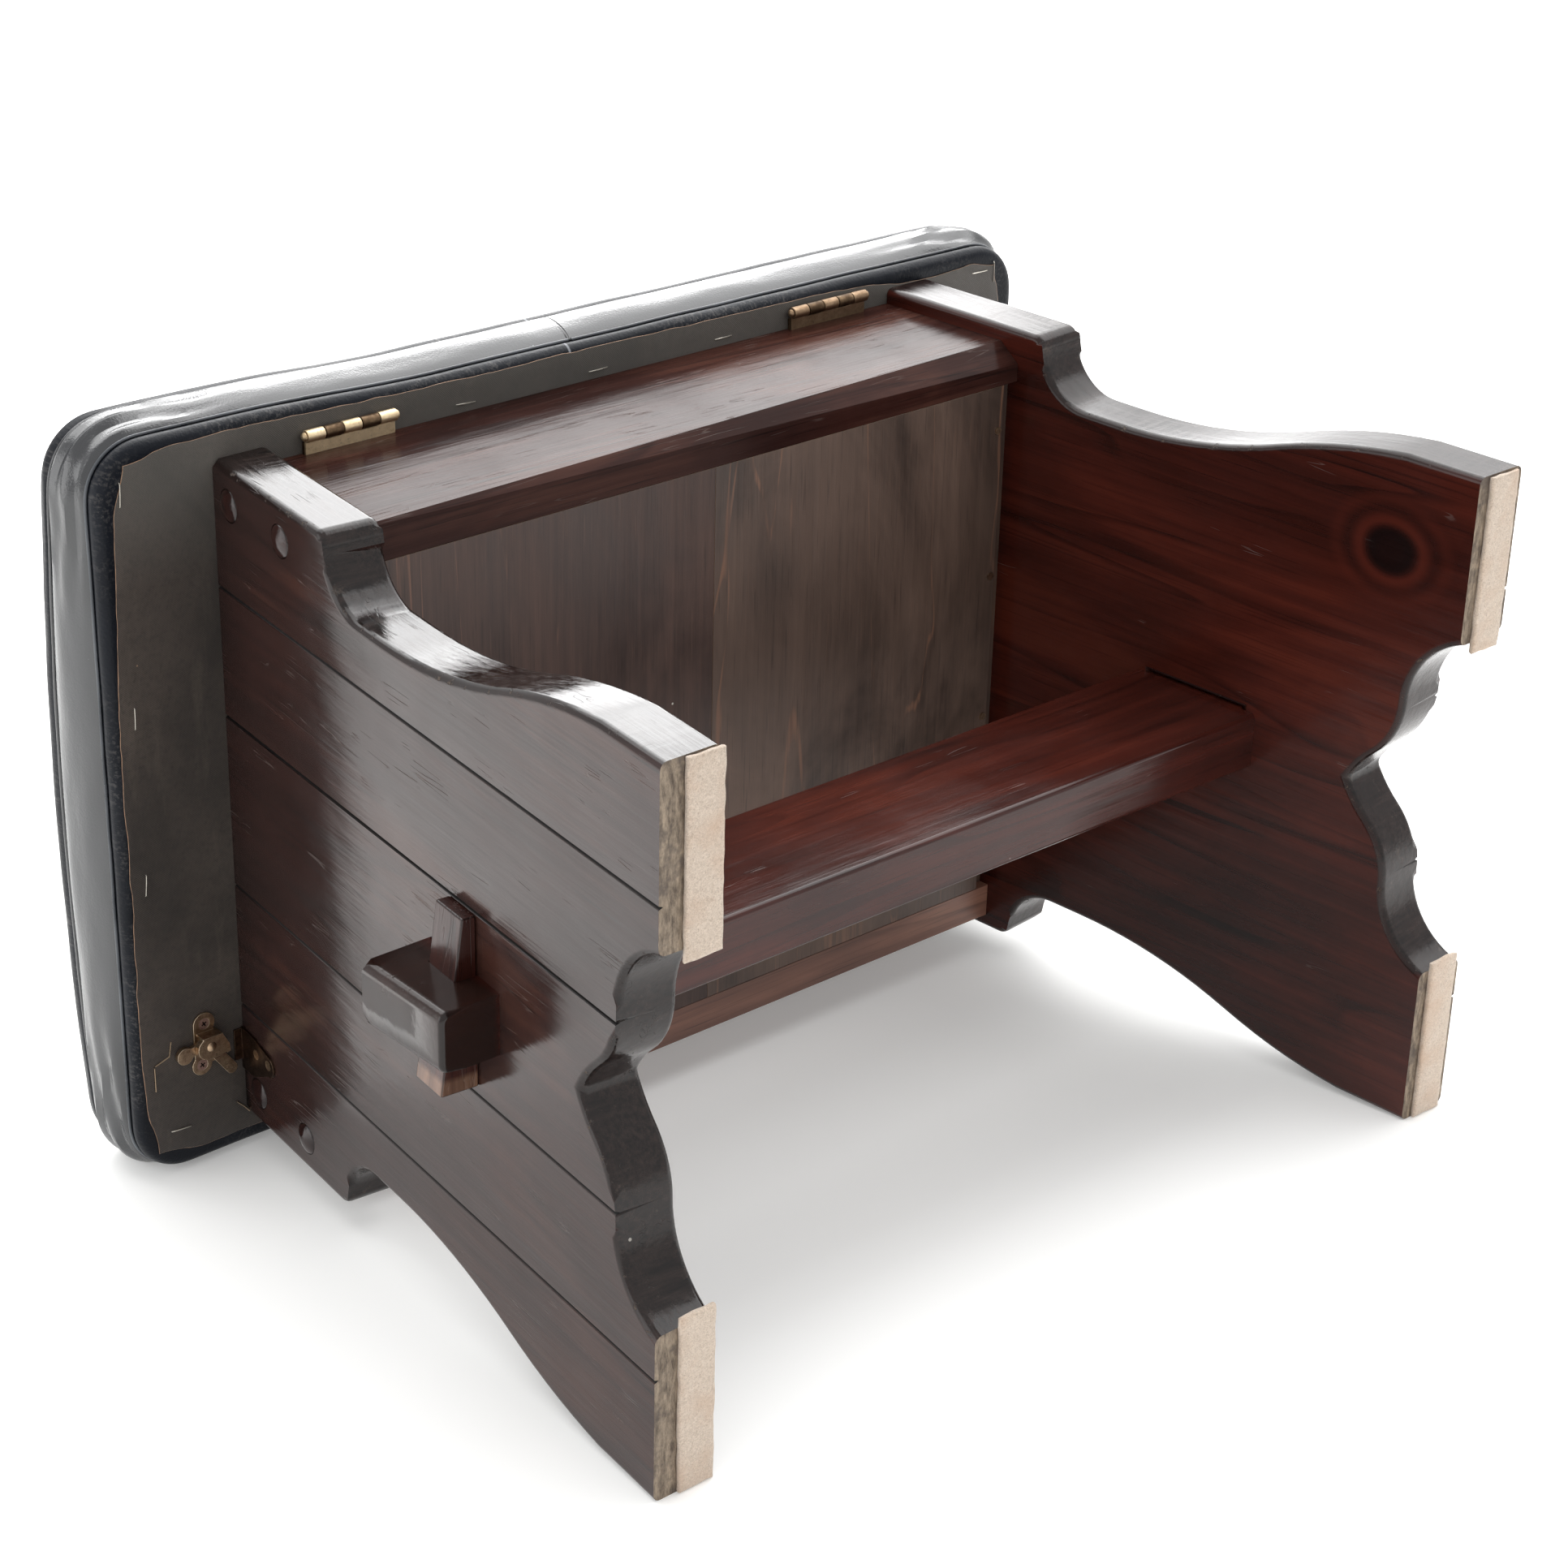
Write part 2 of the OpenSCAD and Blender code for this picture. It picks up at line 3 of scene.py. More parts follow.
import bmesh
import bpy
from mathutils import Matrix, Vector, noise
from mathutils.bvhtree import BVHTree
from mathutils.geometry import intersect_point_line


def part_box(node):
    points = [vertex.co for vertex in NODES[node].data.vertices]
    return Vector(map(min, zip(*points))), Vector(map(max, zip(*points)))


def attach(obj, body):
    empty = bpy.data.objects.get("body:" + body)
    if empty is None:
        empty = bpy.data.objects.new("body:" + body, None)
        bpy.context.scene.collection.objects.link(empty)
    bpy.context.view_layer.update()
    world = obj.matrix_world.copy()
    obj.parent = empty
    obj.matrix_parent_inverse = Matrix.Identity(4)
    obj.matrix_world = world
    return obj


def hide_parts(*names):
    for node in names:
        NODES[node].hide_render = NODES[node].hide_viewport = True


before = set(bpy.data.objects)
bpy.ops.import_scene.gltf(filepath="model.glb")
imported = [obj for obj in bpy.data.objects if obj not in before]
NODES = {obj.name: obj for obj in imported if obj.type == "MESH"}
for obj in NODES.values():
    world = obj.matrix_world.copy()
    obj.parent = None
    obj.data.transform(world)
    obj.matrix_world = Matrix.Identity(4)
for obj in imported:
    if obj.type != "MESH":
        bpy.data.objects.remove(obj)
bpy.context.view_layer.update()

# The bench stands on its feet in this frame. The camera sees it lying on its front,
# so the studio floor of that view is a nearly upright plane that touches the front. A second
# floor under the feet serves the views in which the bench stands.

MM = 0.001


def low(node):
    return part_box(node)[0]


def high(node):
    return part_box(node)[1]


def smooth(a, b, x):
    """0 below a, 1 above b, with a soft change between them."""
    t = min(1, max(0, (x - a) / (b - a)))
    return t * t * (3 - 2 * t)


def wobble(x, y, z, size, seed=0):
    """Smooth noise from about -1 to 1 whose lumps are size metres across."""
    return noise.noise(Vector((x / size + seed, y / size - seed, z / size + 2 * seed)))


# ---- places read from the frame ----

FELT_TOP = high("felt_back_right").z
BOARD_TOP = high("end_board_right").z
BOARD_HALF_W = high("end_board_right").y
RAIL_TOP_X = low("end_board_right").x
RAIL_LOW_X = high("back_rail").x
RAIL_LOW_Z = low("back_rail").z
SPLAY = math.atan2(RAIL_LOW_X - RAIL_TOP_X, BOARD_TOP - RAIL_LOW_Z)
LID_Z = low("dust_cover").z
WEDGE_Z = (low("wedge_right").z + high("wedge_right").z) / 2
UP = Vector((0, 0, 1))


# ---- shader building ----

class Shader:
    """A material and short names for the nodes it is made of."""

    def __init__(self, name):
        self.material = bpy.data.materials.new(name)
        self.material.use_nodes = True
        self.tree = self.material.node_tree
        self.tree.nodes.clear()
        self.coords = self.add("TexCoord")
        self.point = self.coords.outputs["Object"]
        self.normal = self.coords.outputs["Normal"]
        self.colour = self.relief = None

    def add(self, kind, values=None, **settings):
        node = self.tree.nodes.new("ShaderNode" + kind)
        for key, value in settings.items():
            setattr(node, key, value)
        for key, value in (values or {}).items():
            self.put(node.inputs[key], value)
        return node

    def put(self, socket, value):
        if isinstance(value, bpy.types.NodeSocket):
            self.tree.links.new(value, socket)
        else:
            socket.default_value = value

    def math(self, operation, a, b=0):
        node = self.add("Math", operation=operation)
        self.put(node.inputs[0], a)
        self.put(node.inputs[1], b)
        return node.outputs[0]

    def times(self, a, b):
        return self.math("MULTIPLY", a, b)

    def plus(self, a, b):
        return self.math("ADD", a, b)

    def minus(self, a, b):
        return self.math("SUBTRACT", a, b)

    def larger(self, a, b):
        return self.math("MAXIMUM", a, b)

    def absolute(self, value):
        return self.math("ABSOLUTE", value)

    def wave(self, value, period):
        return self.math("SINE", self.times(value, 2 * math.pi / period))

    def placed(self, point=None, turn=(0, 0, 0), scale=(1, 1, 1), shift=(0, 0, 0)):
        values = {"Vector": point or self.point, "Location": shift, "Rotation": turn, "Scale": scale}
        return self.add("Mapping", values).outputs[0]

    def noise(self, point, scale, detail=4, rough=0.55, bend=0):
        values = {"Vector": point, "Scale": scale, "Detail": detail, "Roughness": rough, "Distortion": bend}
        return self.add("TexNoise", values).outputs[0]

    def cells(self, point, scale):
        return self.add("TexVoronoi", {"Vector": point, "Scale": scale}, feature="F1").outputs

    def span(self, value, a, b, low_out=0, high_out=1):
        """Maps a..b to low_out..high_out, held at the ends."""
        values = {0: value, 1: a, 2: b, 3: low_out, 4: high_out}
        return self.add("MapRange", values).outputs[0]

    def mix(self, a, b, amount):
        node = self.add("Mix", data_type="RGBA")
        self.put(node.inputs[0], amount)
        self.put(node.inputs[6], a)
        self.put(node.inputs[7], b)
        return node.outputs[2]

    def stain(self, tint, amount):
        """Lays a tint over the surface's colour."""
        self.colour = self.mix(self.colour, tint, amount)

    def parts(self, vector):
        return self.add("SeparateXYZ", {0: vector}).outputs

    def mark(self, name):
        """A value that the mesh carries on its points."""
        return self.add("Attribute", attribute_name=name).outputs["Fac"]

    def bump(self, height, depth):
        """Adds relief of this depth in metres to the surface's relief so far."""
        values = {"Height": height, "Distance": depth, "Strength": 1}
        if self.relief:
            values["Normal"] = self.relief
        self.relief = self.add("Bump", values).outputs[0]

    def finish(self, roughness, **fixed):
        """The whole surface. The fixed values stay on the shader's own sockets."""
        bsdf = self.add("BsdfPrincipled", {"Base Color": self.colour, "Roughness": roughness})
        self.put(bsdf.inputs["Normal"], self.relief)
        for key, value in fixed.items():
            bsdf.inputs[key.replace("_", " ").title().replace("Ior", "IOR")].default_value = value
        self.add("OutputMaterial", {0: bsdf.outputs[0]})
        return self.material


def rgb(r, g, b):
    return (r, g, b, 1)


def shade(colour, share):
    return rgb(*[c * share for c in colour[:3]])


# ---- materials ----

AXIS_TURN = {"Z": (0, 0, 0), "X": (0, math.pi / 2, 0), "Y": (math.pi / 2, 0, 0)}


def scratches(s, point, turn, density, width=0.03):
    """Thin straight marks that lie roughly along one turned direction."""
    marks = s.noise(s.placed(point, turn=turn, scale=(1, 1, 0.05)), 260, 1, 0.5)
    place = s.noise(s.placed(point, turn=turn, scale=(1, 1, 0.4)), 60, 2, 0.5)
    line = s.span(s.absolute(s.minus(marks, 0.5)), width * 0.5, width * 0.1)
    return s.times(line, s.span(place, 0.74 - density * 0.22, 0.84 - density * 0.22))


def dots(s, point, scale, size, share):
    """Scattered small spots."""
    cell = s.cells(point, scale)
    chosen = s.span(s.parts(cell["Color"])[0], 1 - share, 1.01 - share)
    return s.times(s.span(cell["Distance"], size, size * 1.35, 1, 0), chosen)


def wood(name, grain="Z", tilt=0, deep=rgb(0.011, 0.004, 0.0034), warm=rgb(0.046, 0.0125, 0.0085),
         pale=rgb(0.095, 0.03, 0.016), figure=0.5, gloss=0.17, grey=0, haze=0,
         sawn=False, knots=(), seed=0, pores=0.6, scuffed=0.4, shine=0.42, handled=None, relief=1,
         pale_end=None):
    """Stained and varnished wood. Its grain runs along the named axis, tilted about Y."""
    s = Shader(name)
    upright = s.placed(turn=(0, tilt, 0), shift=(seed, seed * 0.7, seed * 0.3))
    turned = s.placed(upright, turn=AXIS_TURN[grain])
    growth = s.noise(s.placed(turned, scale=(1, 1, 0.09)), 17, 2, 0.5, 0.5)
    rings = s.math("FRACT", s.times(growth, 9))
    faint = s.noise(s.placed(turned, scale=(1, 1, 0.2)), 30, 2)
    late = s.times(s.span(rings, 0.7, 0.95), s.span(rings, 0.95, 1, 1, 0))
    late = s.times(late, s.span(faint, 0.35, 0.65))
    streaks = s.noise(s.placed(turned, scale=(1, 1, 0.028)), 110, 6, 0.62)
    fibre = s.noise(s.placed(turned, scale=(1, 1, 0.016)), 950, 3, 0.6)
    blotch = s.noise(s.placed(turned, scale=(1, 1, 0.45)), 9, 5, 0.62, 0.6)
    tone = s.plus(s.times(late, -0.26 * figure), s.times(streaks, 0.6))
    tone = s.plus(tone, blotch)
    s.colour = s.mix(deep, warm, s.span(tone, 0.52, 0.96))
    s.stain(pale, s.span(tone, 0.84, 1.12, 0, 0.75))
    s.stain(shade(deep, 0.5), s.times(late, 0.55 * figure))
    s.stain(shade(deep, 0.35), s.span(fibre, 0.57, 0.7, 0, pores))
    if haze:
        s.stain(rgb(0.07, 0.055, 0.05), s.span(blotch, 0.35, 0.7, haze, haze * 0.3))
    for knot, size in knots:
        away = s.add("VectorMath", {0: s.point, 1: knot}, operation="SUBTRACT").outputs[0]
        away = s.placed(away, turn=(0, tilt, 0), scale=(0.2, 1, 0.8))
        gap = s.add("VectorMath", {0: away}, operation="LENGTH").outputs["Value"]
        gap = s.plus(gap, s.times(s.minus(blotch, 0.5), size * 0.9))
        ring = s.wave(gap, size * 0.8)
        halo = s.span(gap, size * 0.9, size * 2.2, 1, 0)
        s.stain(s.mix(deep, warm, s.span(ring, -1, 1, 0.1, 0.9)), s.times(halo, 0.8))
        s.stain(rgb(0.004, 0.002, 0.002), s.span(gap, size * 0.6, size * 0.95, 0.95, 0))
    if grey:
        s.stain(rgb(0.105, 0.085, 0.076), s.times(s.span(streaks, 0.36, 0.66), grey))
    along = scratches(s, turned, (0.12, 0.06, 0), scuffed)
    across = scratches(s, turned, (0.9, 0.5, 0.3), scuffed * 0.7)
    scuffs = s.larger(along, across)
    s.stain(rgb(0.14, 0.11, 0.098), s.times(scuffs, 0.32))
    nicks = dots(s, s.placed(turned, turn=(0.5, 0.25, 0.1), scale=(1, 1, 0.22)), 55, 0.03, 0.16 * scuffed)
    cuts = scratches(s, turned, (0.55, 0.35, 0.2), scuffed * 0.35, 0.012)
    nicks = s.larger(nicks, cuts)
    s.stain(rgb(0.003, 0.002, 0.002), s.times(nicks, 0.8))
    if handled:
        far_out = s.span(s.absolute(s.parts(s.point)[0]), handled, handled + 0.006, 0, 0.85)
        grime = s.mix(rgb(0.0035, 0.0025, 0.0022), rgb(0.016, 0.0095, 0.0075), s.span(blotch, 0.4, 0.62))
        s.stain(grime, far_out)
    if pale_end:
        bare_end = s.span(s.parts(s.point)[1], pale_end, pale_end - 0.003, 0, 0.8)
        s.stain(s.mix(rgb(0.085, 0.042, 0.028), rgb(0.24, 0.135, 0.085), s.span(streaks, 0.35, 0.65)),
                bare_end)
    arris = s.mark("arris")
    chipping = s.noise(upright, 150, 6, 0.75)
    # The rounded arrises are darkened, partly rubbed-in black and partly a painted dark reflection.
    s.stain(rgb(0.006, 0.0035, 0.003), s.span(arris, 0.1, 0.9, 0, 0.75))
    worn = s.times(s.span(arris, 0.4, 0.9), s.span(chipping, 0.59, 0.68))
    s.stain(rgb(0.13, 0.09, 0.062), s.times(worn, 0.6))
    rough = s.span(s.noise(upright, 30, 2), 0.3, 0.75, gloss - 0.02, gloss + 0.07)
    rough = s.plus(rough, s.times(s.larger(scuffs, worn), 0.25))
    height = s.plus(s.times(fibre, 0.3), s.times(streaks, 0.45))
    if sawn:
        facing = s.absolute(s.parts(s.placed(s.normal, turn=(0, tilt, 0)))[0])
        edge = s.span(facing, 0.45, 0.8, 1, 0)
        lengthwise = s.noise(s.placed(upright, scale=(1, 1, 0.1)), 420, 5, 0.7)
        crosswise = s.noise(s.placed(upright, scale=(0.12, 1, 1)), 300, 5, 0.7)
        patch = s.noise(upright, 24, 3, 0.6)
        coarse = s.mix(lengthwise, crosswise, s.span(patch, 0.46, 0.58))
        dark_edge = s.mix(rgb(0.0035, 0.0025, 0.0025), rgb(0.022, 0.014, 0.012),
                          s.span(coarse, 0.38, 0.68))
        s.stain(dark_edge, s.times(edge, 0.92))
        rubbed = s.times(edge, s.span(s.noise(upright, 48, 6, 0.78), 0.6, 0.7))
        s.stain(rgb(0.1, 0.075, 0.06), s.times(rubbed, 0.45))
        rough = s.plus(rough, s.times(edge, s.span(coarse, 0.4, 0.66, -0.09, 0.05)))
        height = s.plus(height, s.times(s.times(coarse, edge), 0.45))
        under = s.span(s.times(s.parts(s.normal)[2], -1), 0.85, 0.97)
        low_end = s.span(s.parts(s.point)[2], FELT_TOP + 0.003, FELT_TOP + 0.0005)
        tubes = s.noise(s.placed(upright, scale=(1, 0.25, 1)), 420, 5, 0.75)
        end_grain = s.mix(rgb(0.075, 0.055, 0.04), rgb(0.33, 0.26, 0.19), s.span(tubes, 0.35, 0.68))
        soiled = s.span(s.noise(upright, 60, 4, 0.7), 0.5, 0.62, 0, 0.7)
        end_grain = s.mix(end_grain, rgb(0.07, 0.055, 0.048), soiled)
        bare = s.times(under, low_end)
        s.stain(end_grain, bare)
        rough = s.plus(rough, s.times(bare, 0.5))
        height = s.plus(height, s.times(bare, s.times(chipping, 2)))
        # The V-groove bottoms are painted near black and matt: painted shade in the recess.
        groove_painted_shade = s.times(s.span(s.mark("groove"), 0.05, 0.35), s.minus(1, under))
        s.stain(rgb(0.0012, 0.001, 0.001), groove_painted_shade)
        rough = s.plus(rough, s.times(groove_painted_shade, 0.6))
    flecks = dots(s, upright, 52, 0.035, 0.1)
    s.stain(rgb(0.45, 0.42, 0.38), s.times(flecks, 0.6))
    s.bump(height, 0.00015 * relief)
    s.bump(s.noise(s.placed(turned, scale=(1, 1, 0.12)), 150, 2, 0.5), 0.00022)
    s.bump(s.noise(upright, 20, 1), 0.0005)
    s.bump(s.larger(s.larger(nicks, worn), s.times(scuffs, 0.5)), -0.00022)
    return s.finish(s.math("MINIMUM", rough, 0.9), specular_ior_level=shine)


def plywood(name, deep, pale, streak, seed):
    """Thin stained plywood whose grain runs from front to back."""
    s = Shader(name)
    p = s.placed(shift=(seed, seed, 0))
    lines = s.noise(s.placed(p, scale=(1, 0.025, 1)), 300, 6, 0.7)
    bands = s.noise(s.placed(p, scale=(1, 0.1, 1)), 34, 4, 0.6, 0.6)
    clouds = s.noise(s.placed(p, scale=(1, 0.6, 1)), 11, 5, 0.62, 0.8)
    growth = s.noise(s.placed(p, scale=(1, 0.13, 1)), 13, 3, 0.55, 0.9)
    rings = s.wave(growth, 1 / 6)
    tone = s.plus(s.times(lines, streak), s.times(bands, 0.14))
    tone = s.plus(tone, s.times(clouds, 1.3 - streak))
    s.colour = s.mix(deep, pale, s.span(tone, 0.5, 0.95))
    thin = s.times(s.span(rings, 0.975, 1), s.span(lines, 0.42, 0.6))
    s.stain(rgb(0.22, 0.105, 0.062), s.times(thin, 0.55))
    hairs = s.noise(s.placed(p, scale=(1, 0.03, 1)), 850, 2, 0.6)
    s.stain(rgb(0.13, 0.07, 0.048), s.span(hairs, 0.64, 0.74, 0, 0.3))
    s.stain(rgb(0.01, 0.006, 0.005), s.span(hairs, 0.4, 0.3, 0, 0.4))
    s.stain(rgb(0.55, 0.52, 0.46), dots(s, p, 34, 0.022, 0.3))
    side = s.span(s.absolute(s.parts(s.normal)[2]), 0.4, 0.8, 1, 0)
    s.stain(rgb(0.22, 0.14, 0.085), s.larger(side, s.mark("arris")))
    s.bump(s.plus(lines, s.times(hairs, 0.4)), 0.0001)
    s.bump(bands, 0.0005)
    return s.finish(s.span(clouds, 0.3, 0.7, 0.34, 0.52), specular_ior_level=0.45)


def bare_wood(name, deep, pale):
    """Sawn wood inside the box, with no varnish."""
    s = Shader(name)
    streaks = s.noise(s.placed(scale=(0.3, 0.05, 1)), 160, 5, 0.65)
    hairs = s.noise(s.placed(scale=(0.1, 0.02, 1)), 900, 2, 0.6)
    s.colour = s.mix(deep, pale, s.span(streaks, 0.3, 0.7))
    s.stain(deep, s.span(hairs, 0.55, 0.7))
    s.bump(streaks, 0.0003)
    return s.finish(s.span(streaks, 0.3, 0.7, 0.55, 0.75))


BAND_SEAM_X = 0.0115
ROLL_JOINT_X = 0.0165
THREAD = 0.0011


def vinyl(name, dark, light, gloss, shine):
    """Upholstery vinyl. The rolled edges are matt and their coating is rubbed into a fine cross grain."""
    s = Shader(name)
    roll = s.mark("roll")
    x, y, z = s.parts(s.point)
    run = s.placed(scale=(0.3, 0.3, 1))
    grain = s.noise(s.point, 1300, 3, 0.6)
    pebble = s.cells(s.point, 800)["Distance"]
    smear = s.noise(run, 60, 4, 0.6)
    weft = s.noise(s.placed(scale=(1, 1, 0.08)), 650, 3, 0.65)
    s.colour = s.mix(dark, light, s.span(smear, 0.35, 0.7))
    rubbed = s.times(s.span(weft, 0.5, 0.64), s.span(roll, 0.2, 0.9))
    rubbed = s.times(rubbed, s.span(s.noise(s.point, 26, 3), 0.42, 0.62))
    s.stain(rgb(0.085, 0.08, 0.078), s.times(rubbed, 0.5))
    spots = dots(s, s.point, 95, 0.03, 0.16)
    s.stain(rgb(0.4, 0.42, 0.45), s.times(spots, 0.5))
    back = s.span(y, 0.15, 0.16)
    lean = s.plus(x, s.times(s.minus(z, LID_Z), 0.1))
    seam = s.times(back, s.span(s.absolute(s.minus(lean, BAND_SEAM_X)), 0.0004, 0.0011, 1, 0))
    seam = s.times(seam, s.span(roll, 0.5, 0.2))
    s.stain(rgb(0.002, 0.002, 0.003), seam)
    joint = s.times(back, s.span(s.absolute(s.minus(lean, ROLL_JOINT_X)), 0.0003, 0.0009, 1, 0))
    s.stain(rgb(0.26, 0.27, 0.29), s.times(joint, s.span(roll, 0.4, 0.8, 0, 0.7)))
    s.bump(s.plus(s.times(pebble, 0.6), grain), 0.00008)
    s.bump(s.times(weft, roll), 0.00022)
    s.bump(s.noise(run, 110, 2, 0.5), 0.00035)
    s.bump(seam, -0.0012)
    return s.finish(s.span(smear, 0.3, 0.7, gloss, gloss + 0.1), specular_ior_level=shine)


def dust_cloth(name):
    """Thin brown cloth, cloudy with age, whose marked edge is frayed."""
    s = Shader(name)
    x, y, _ = s.parts(s.point)
    weave = s.times(s.wave(x, THREAD), s.wave(y, THREAD))
    cloud = s.noise(s.point, 12, 5, 0.62, 0.7)
    fine = s.noise(s.point, 420, 4, 0.7)
    drag = s.noise(s.placed(scale=(1, 0.15, 1)), 60, 4, 0.7)
    s.colour = s.mix(rgb(0.02, 0.0145, 0.0115), rgb(0.062, 0.046, 0.037), s.span(cloud, 0.32, 0.7))
    s.stain(rgb(0.088, 0.068, 0.054), s.span(drag, 0.56, 0.74, 0, 0.5))
    s.stain(rgb(0.012, 0.01, 0.008), s.span(fine, 0.48, 0.72, 0, 0.65))
    s.stain(rgb(0.09, 0.076, 0.062), s.span(weave, 0.2, 1, 0, 0.3))
    s.stain(rgb(0.105, 0.1, 0.09), s.span(y, 0.12, 0.165, 0, 0.45))
    specks = dots(s, s.point, 60, 0.028, 0.22)
    s.stain(rgb(0.35, 0.22, 0.13), s.times(specks, 0.7))
    fray = s.plus(s.mark("fray"), s.times(s.noise(s.point, 260, 4), 0.8))
    s.stain(rgb(0.34, 0.2, 0.12), s.span(fray, 1.12, 1.3))
    s.bump(weave, 0.00006)
    s.bump(s.noise(s.point, 35, 4), 0.001)
    return s.finish(0.62, specular_ior_level=0.35, sheen_weight=0.15, sheen_roughness=0.5)


def felt(name):
    """Pale wool felt, matted and a little stained."""
    s = Shader(name)
    fibres = s.noise(s.point, 900, 6, 0.75, 1.5)
    tufts = s.noise(s.point, 220, 4, 0.7)
    stain = s.noise(s.point, 45, 3)
    s.colour = s.mix(rgb(0.38, 0.27, 0.19), rgb(0.76, 0.63, 0.51), s.span(fibres, 0.3, 0.58))
    s.stain(rgb(0.58, 0.38, 0.25), s.span(stain, 0.45, 0.72, 0, 0.6))
    s.stain(rgb(0.2, 0.15, 0.11), dots(s, s.point, 130, 0.05, 0.15))
    s.bump(s.plus(fibres, tufts), 0.0008)
    return s.finish(0.95, specular_ior_level=0.1, sheen_weight=0.4, sheen_roughness=0.6)


def brass(name, bright, dull, tarnish, gloss, rim_wear_and_highlight=rgb(0.7, 0.56, 0.38)):
    """Brass that is dull in patches and spotted, and lighter along its arrises, partly rubbed wear and
    partly painted highlight.
    """
    s = Shader(name)
    patch = s.noise(s.point, 160, 5, 0.65)
    scratch = s.noise(s.placed(scale=(0.1, 1, 1)), 1400, 3, 0.6)
    spots = s.noise(s.point, 700, 3, 0.7)
    s.colour = s.mix(bright, dull, s.span(patch, 0.5 - 0.3 * tarnish, 0.85 - 0.3 * tarnish))
    s.stain(rgb(0.03, 0.018, 0.01), s.span(spots, 0.58, 0.7, 0, 0.5 * tarnish + 0.15))
    rough = s.plus(s.span(patch, 0.3, 0.7, gloss, gloss + 0.2), s.span(scratch, 0.4, 0.7, 0, 0.08))
    # The rim colour along the arrises is partly rubbed brass and partly a painted highlight.
    s.stain(rim_wear_and_highlight, s.span(s.mark("arris"), 0.3, 0.9, 0, 0.85))
    s.bump(scratch, 0.00003)
    s.bump(spots, 0.00005)
    return s.finish(rough, metallic=1)


def screw_metal(name, node):
    """A tarnished countersunk screw head whose cross recess is painted dark as shade, one for each solid of
    the node.
    """
    s = Shader(name)
    spots = s.noise(s.point, 900, 4, 0.7)
    s.colour = s.mix(rgb(0.42, 0.27, 0.22), rgb(0.2, 0.11, 0.09), s.span(spots, 0.35, 0.7))
    for a, b in islands(node):
        away = s.add("VectorMath", {0: s.point, 1: (a + b) / 2}, operation="SUBTRACT").outputs[0]
        x, y, _ = s.parts(s.placed(away, turn=(0, 0, 0.5)))
        x, y = s.absolute(x), s.absolute(y)
        arm = s.times(s.span(s.math("MINIMUM", x, y), 0.0003, 0.00045, 1, 0),
                      s.span(s.larger(x, y), 0.0014, 0.0016, 1, 0))
        # The cross recess is painted near black: painted shade in the recess.
        s.stain(rgb(0.006, 0.004, 0.004), arm)
    s.bump(spots, 0.00004)
    return s.finish(s.span(spots, 0.3, 0.7, 0.3, 0.5), metallic=0.8)


def steel(name, colour):
    """Steel wire or screw with brownish spots."""
    s = Shader(name)
    spots = s.noise(s.point, 900, 4, 0.7)
    s.colour = s.mix(colour, rgb(0.2, 0.17, 0.13), s.span(spots, 0.55, 0.75, 0, 0.6))
    s.bump(spots, 0.00004)
    return s.finish(s.span(spots, 0.3, 0.7, 0.22, 0.42), metallic=1)


# ---- pieces ----

def add_piece(name, mesh, material, body, slot, *stands_for):
    """Puts a mesh in the scene, riding on a body and standing for CAD nodes."""
    piece = bpy.data.objects.new(name, mesh)
    bpy.context.scene.collection.objects.link(piece)
    mesh.materials.append(material)
    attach(piece, body)
    if stands_for:
        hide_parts(*stands_for)
    return piece


def to_mesh(bm, name, angle=35):
    """The finished mesh, smooth except at edges sharper than angle."""
    bmesh.ops.recalc_face_normals(bm, faces=bm.faces)
    mesh = bpy.data.meshes.new(name)
    bm.to_mesh(mesh)
    bm.free()
    mesh.shade_smooth()
    mesh.set_sharp_from_angle(angle=math.radians(angle))
    return mesh


MERGE_GAP = 0.08 * MM
FLAT_ANGLE = math.radians(0.4)


def node_bmesh(node):
    """A CAD node as a clean bmesh with flat faces joined up."""
    bm = bmesh.new()
    bm.from_mesh(NODES[node].data)
    bmesh.ops.remove_doubles(bm, verts=bm.verts, dist=MERGE_GAP)
    bmesh.ops.dissolve_limit(bm, angle_limit=FLAT_ANGLE, verts=bm.verts, edges=bm.edges)
    return bm


def middle_of(edge):
    return (edge.verts[0].co + edge.verts[1].co) / 2


def round_off(bm, edges, width, segments, clamp=True):
    """Rounds the edges and gives the faces that this makes."""
    return bmesh.ops.bevel(bm, geom=edges, offset=width, offset_type="OFFSET", segments=segments,
                           profile=0.5, affect="EDGES", clamp_overlap=clamp)["faces"]


def roomy(bm, edges, width, segments):
    """The edges that can be rounded this much without the rounding folding over itself."""
    bm.edges.index_update()
    solid = BVHTree.FromBMesh(bm)
    ends = {e.index: (e.verts[0].co.copy(), e.verts[1].co.copy()) for e in edges}
    for _ in range(8):
        trial = bm.copy()
        trial.edges.ensure_lookup_table()
        spoiled = []
        for face in round_off(trial, [trial.edges[i] for i in sorted(ends)], width, segments, False):
            middle = face.calc_center_median()
            _, normal, _, gap = solid.find_nearest(middle)
            if gap > 0.45 * width or face.normal.dot(normal) < 0.25:
                spoiled.append(middle)
        trial.free()
        if not spoiled:
            break

        def near(a, b):
            for point in spoiled:
                _, along = intersect_point_line(point, a, b)
                if (point - a.lerp(b, min(1, max(0, along)))).length < 0.9 * width:
                    return True
            return False

        ends = {i: pair for i, pair in ends.items() if not near(*pair)}
    bm.edges.ensure_lookup_table()
    return [bm.edges[i] for i in sorted(ends)]


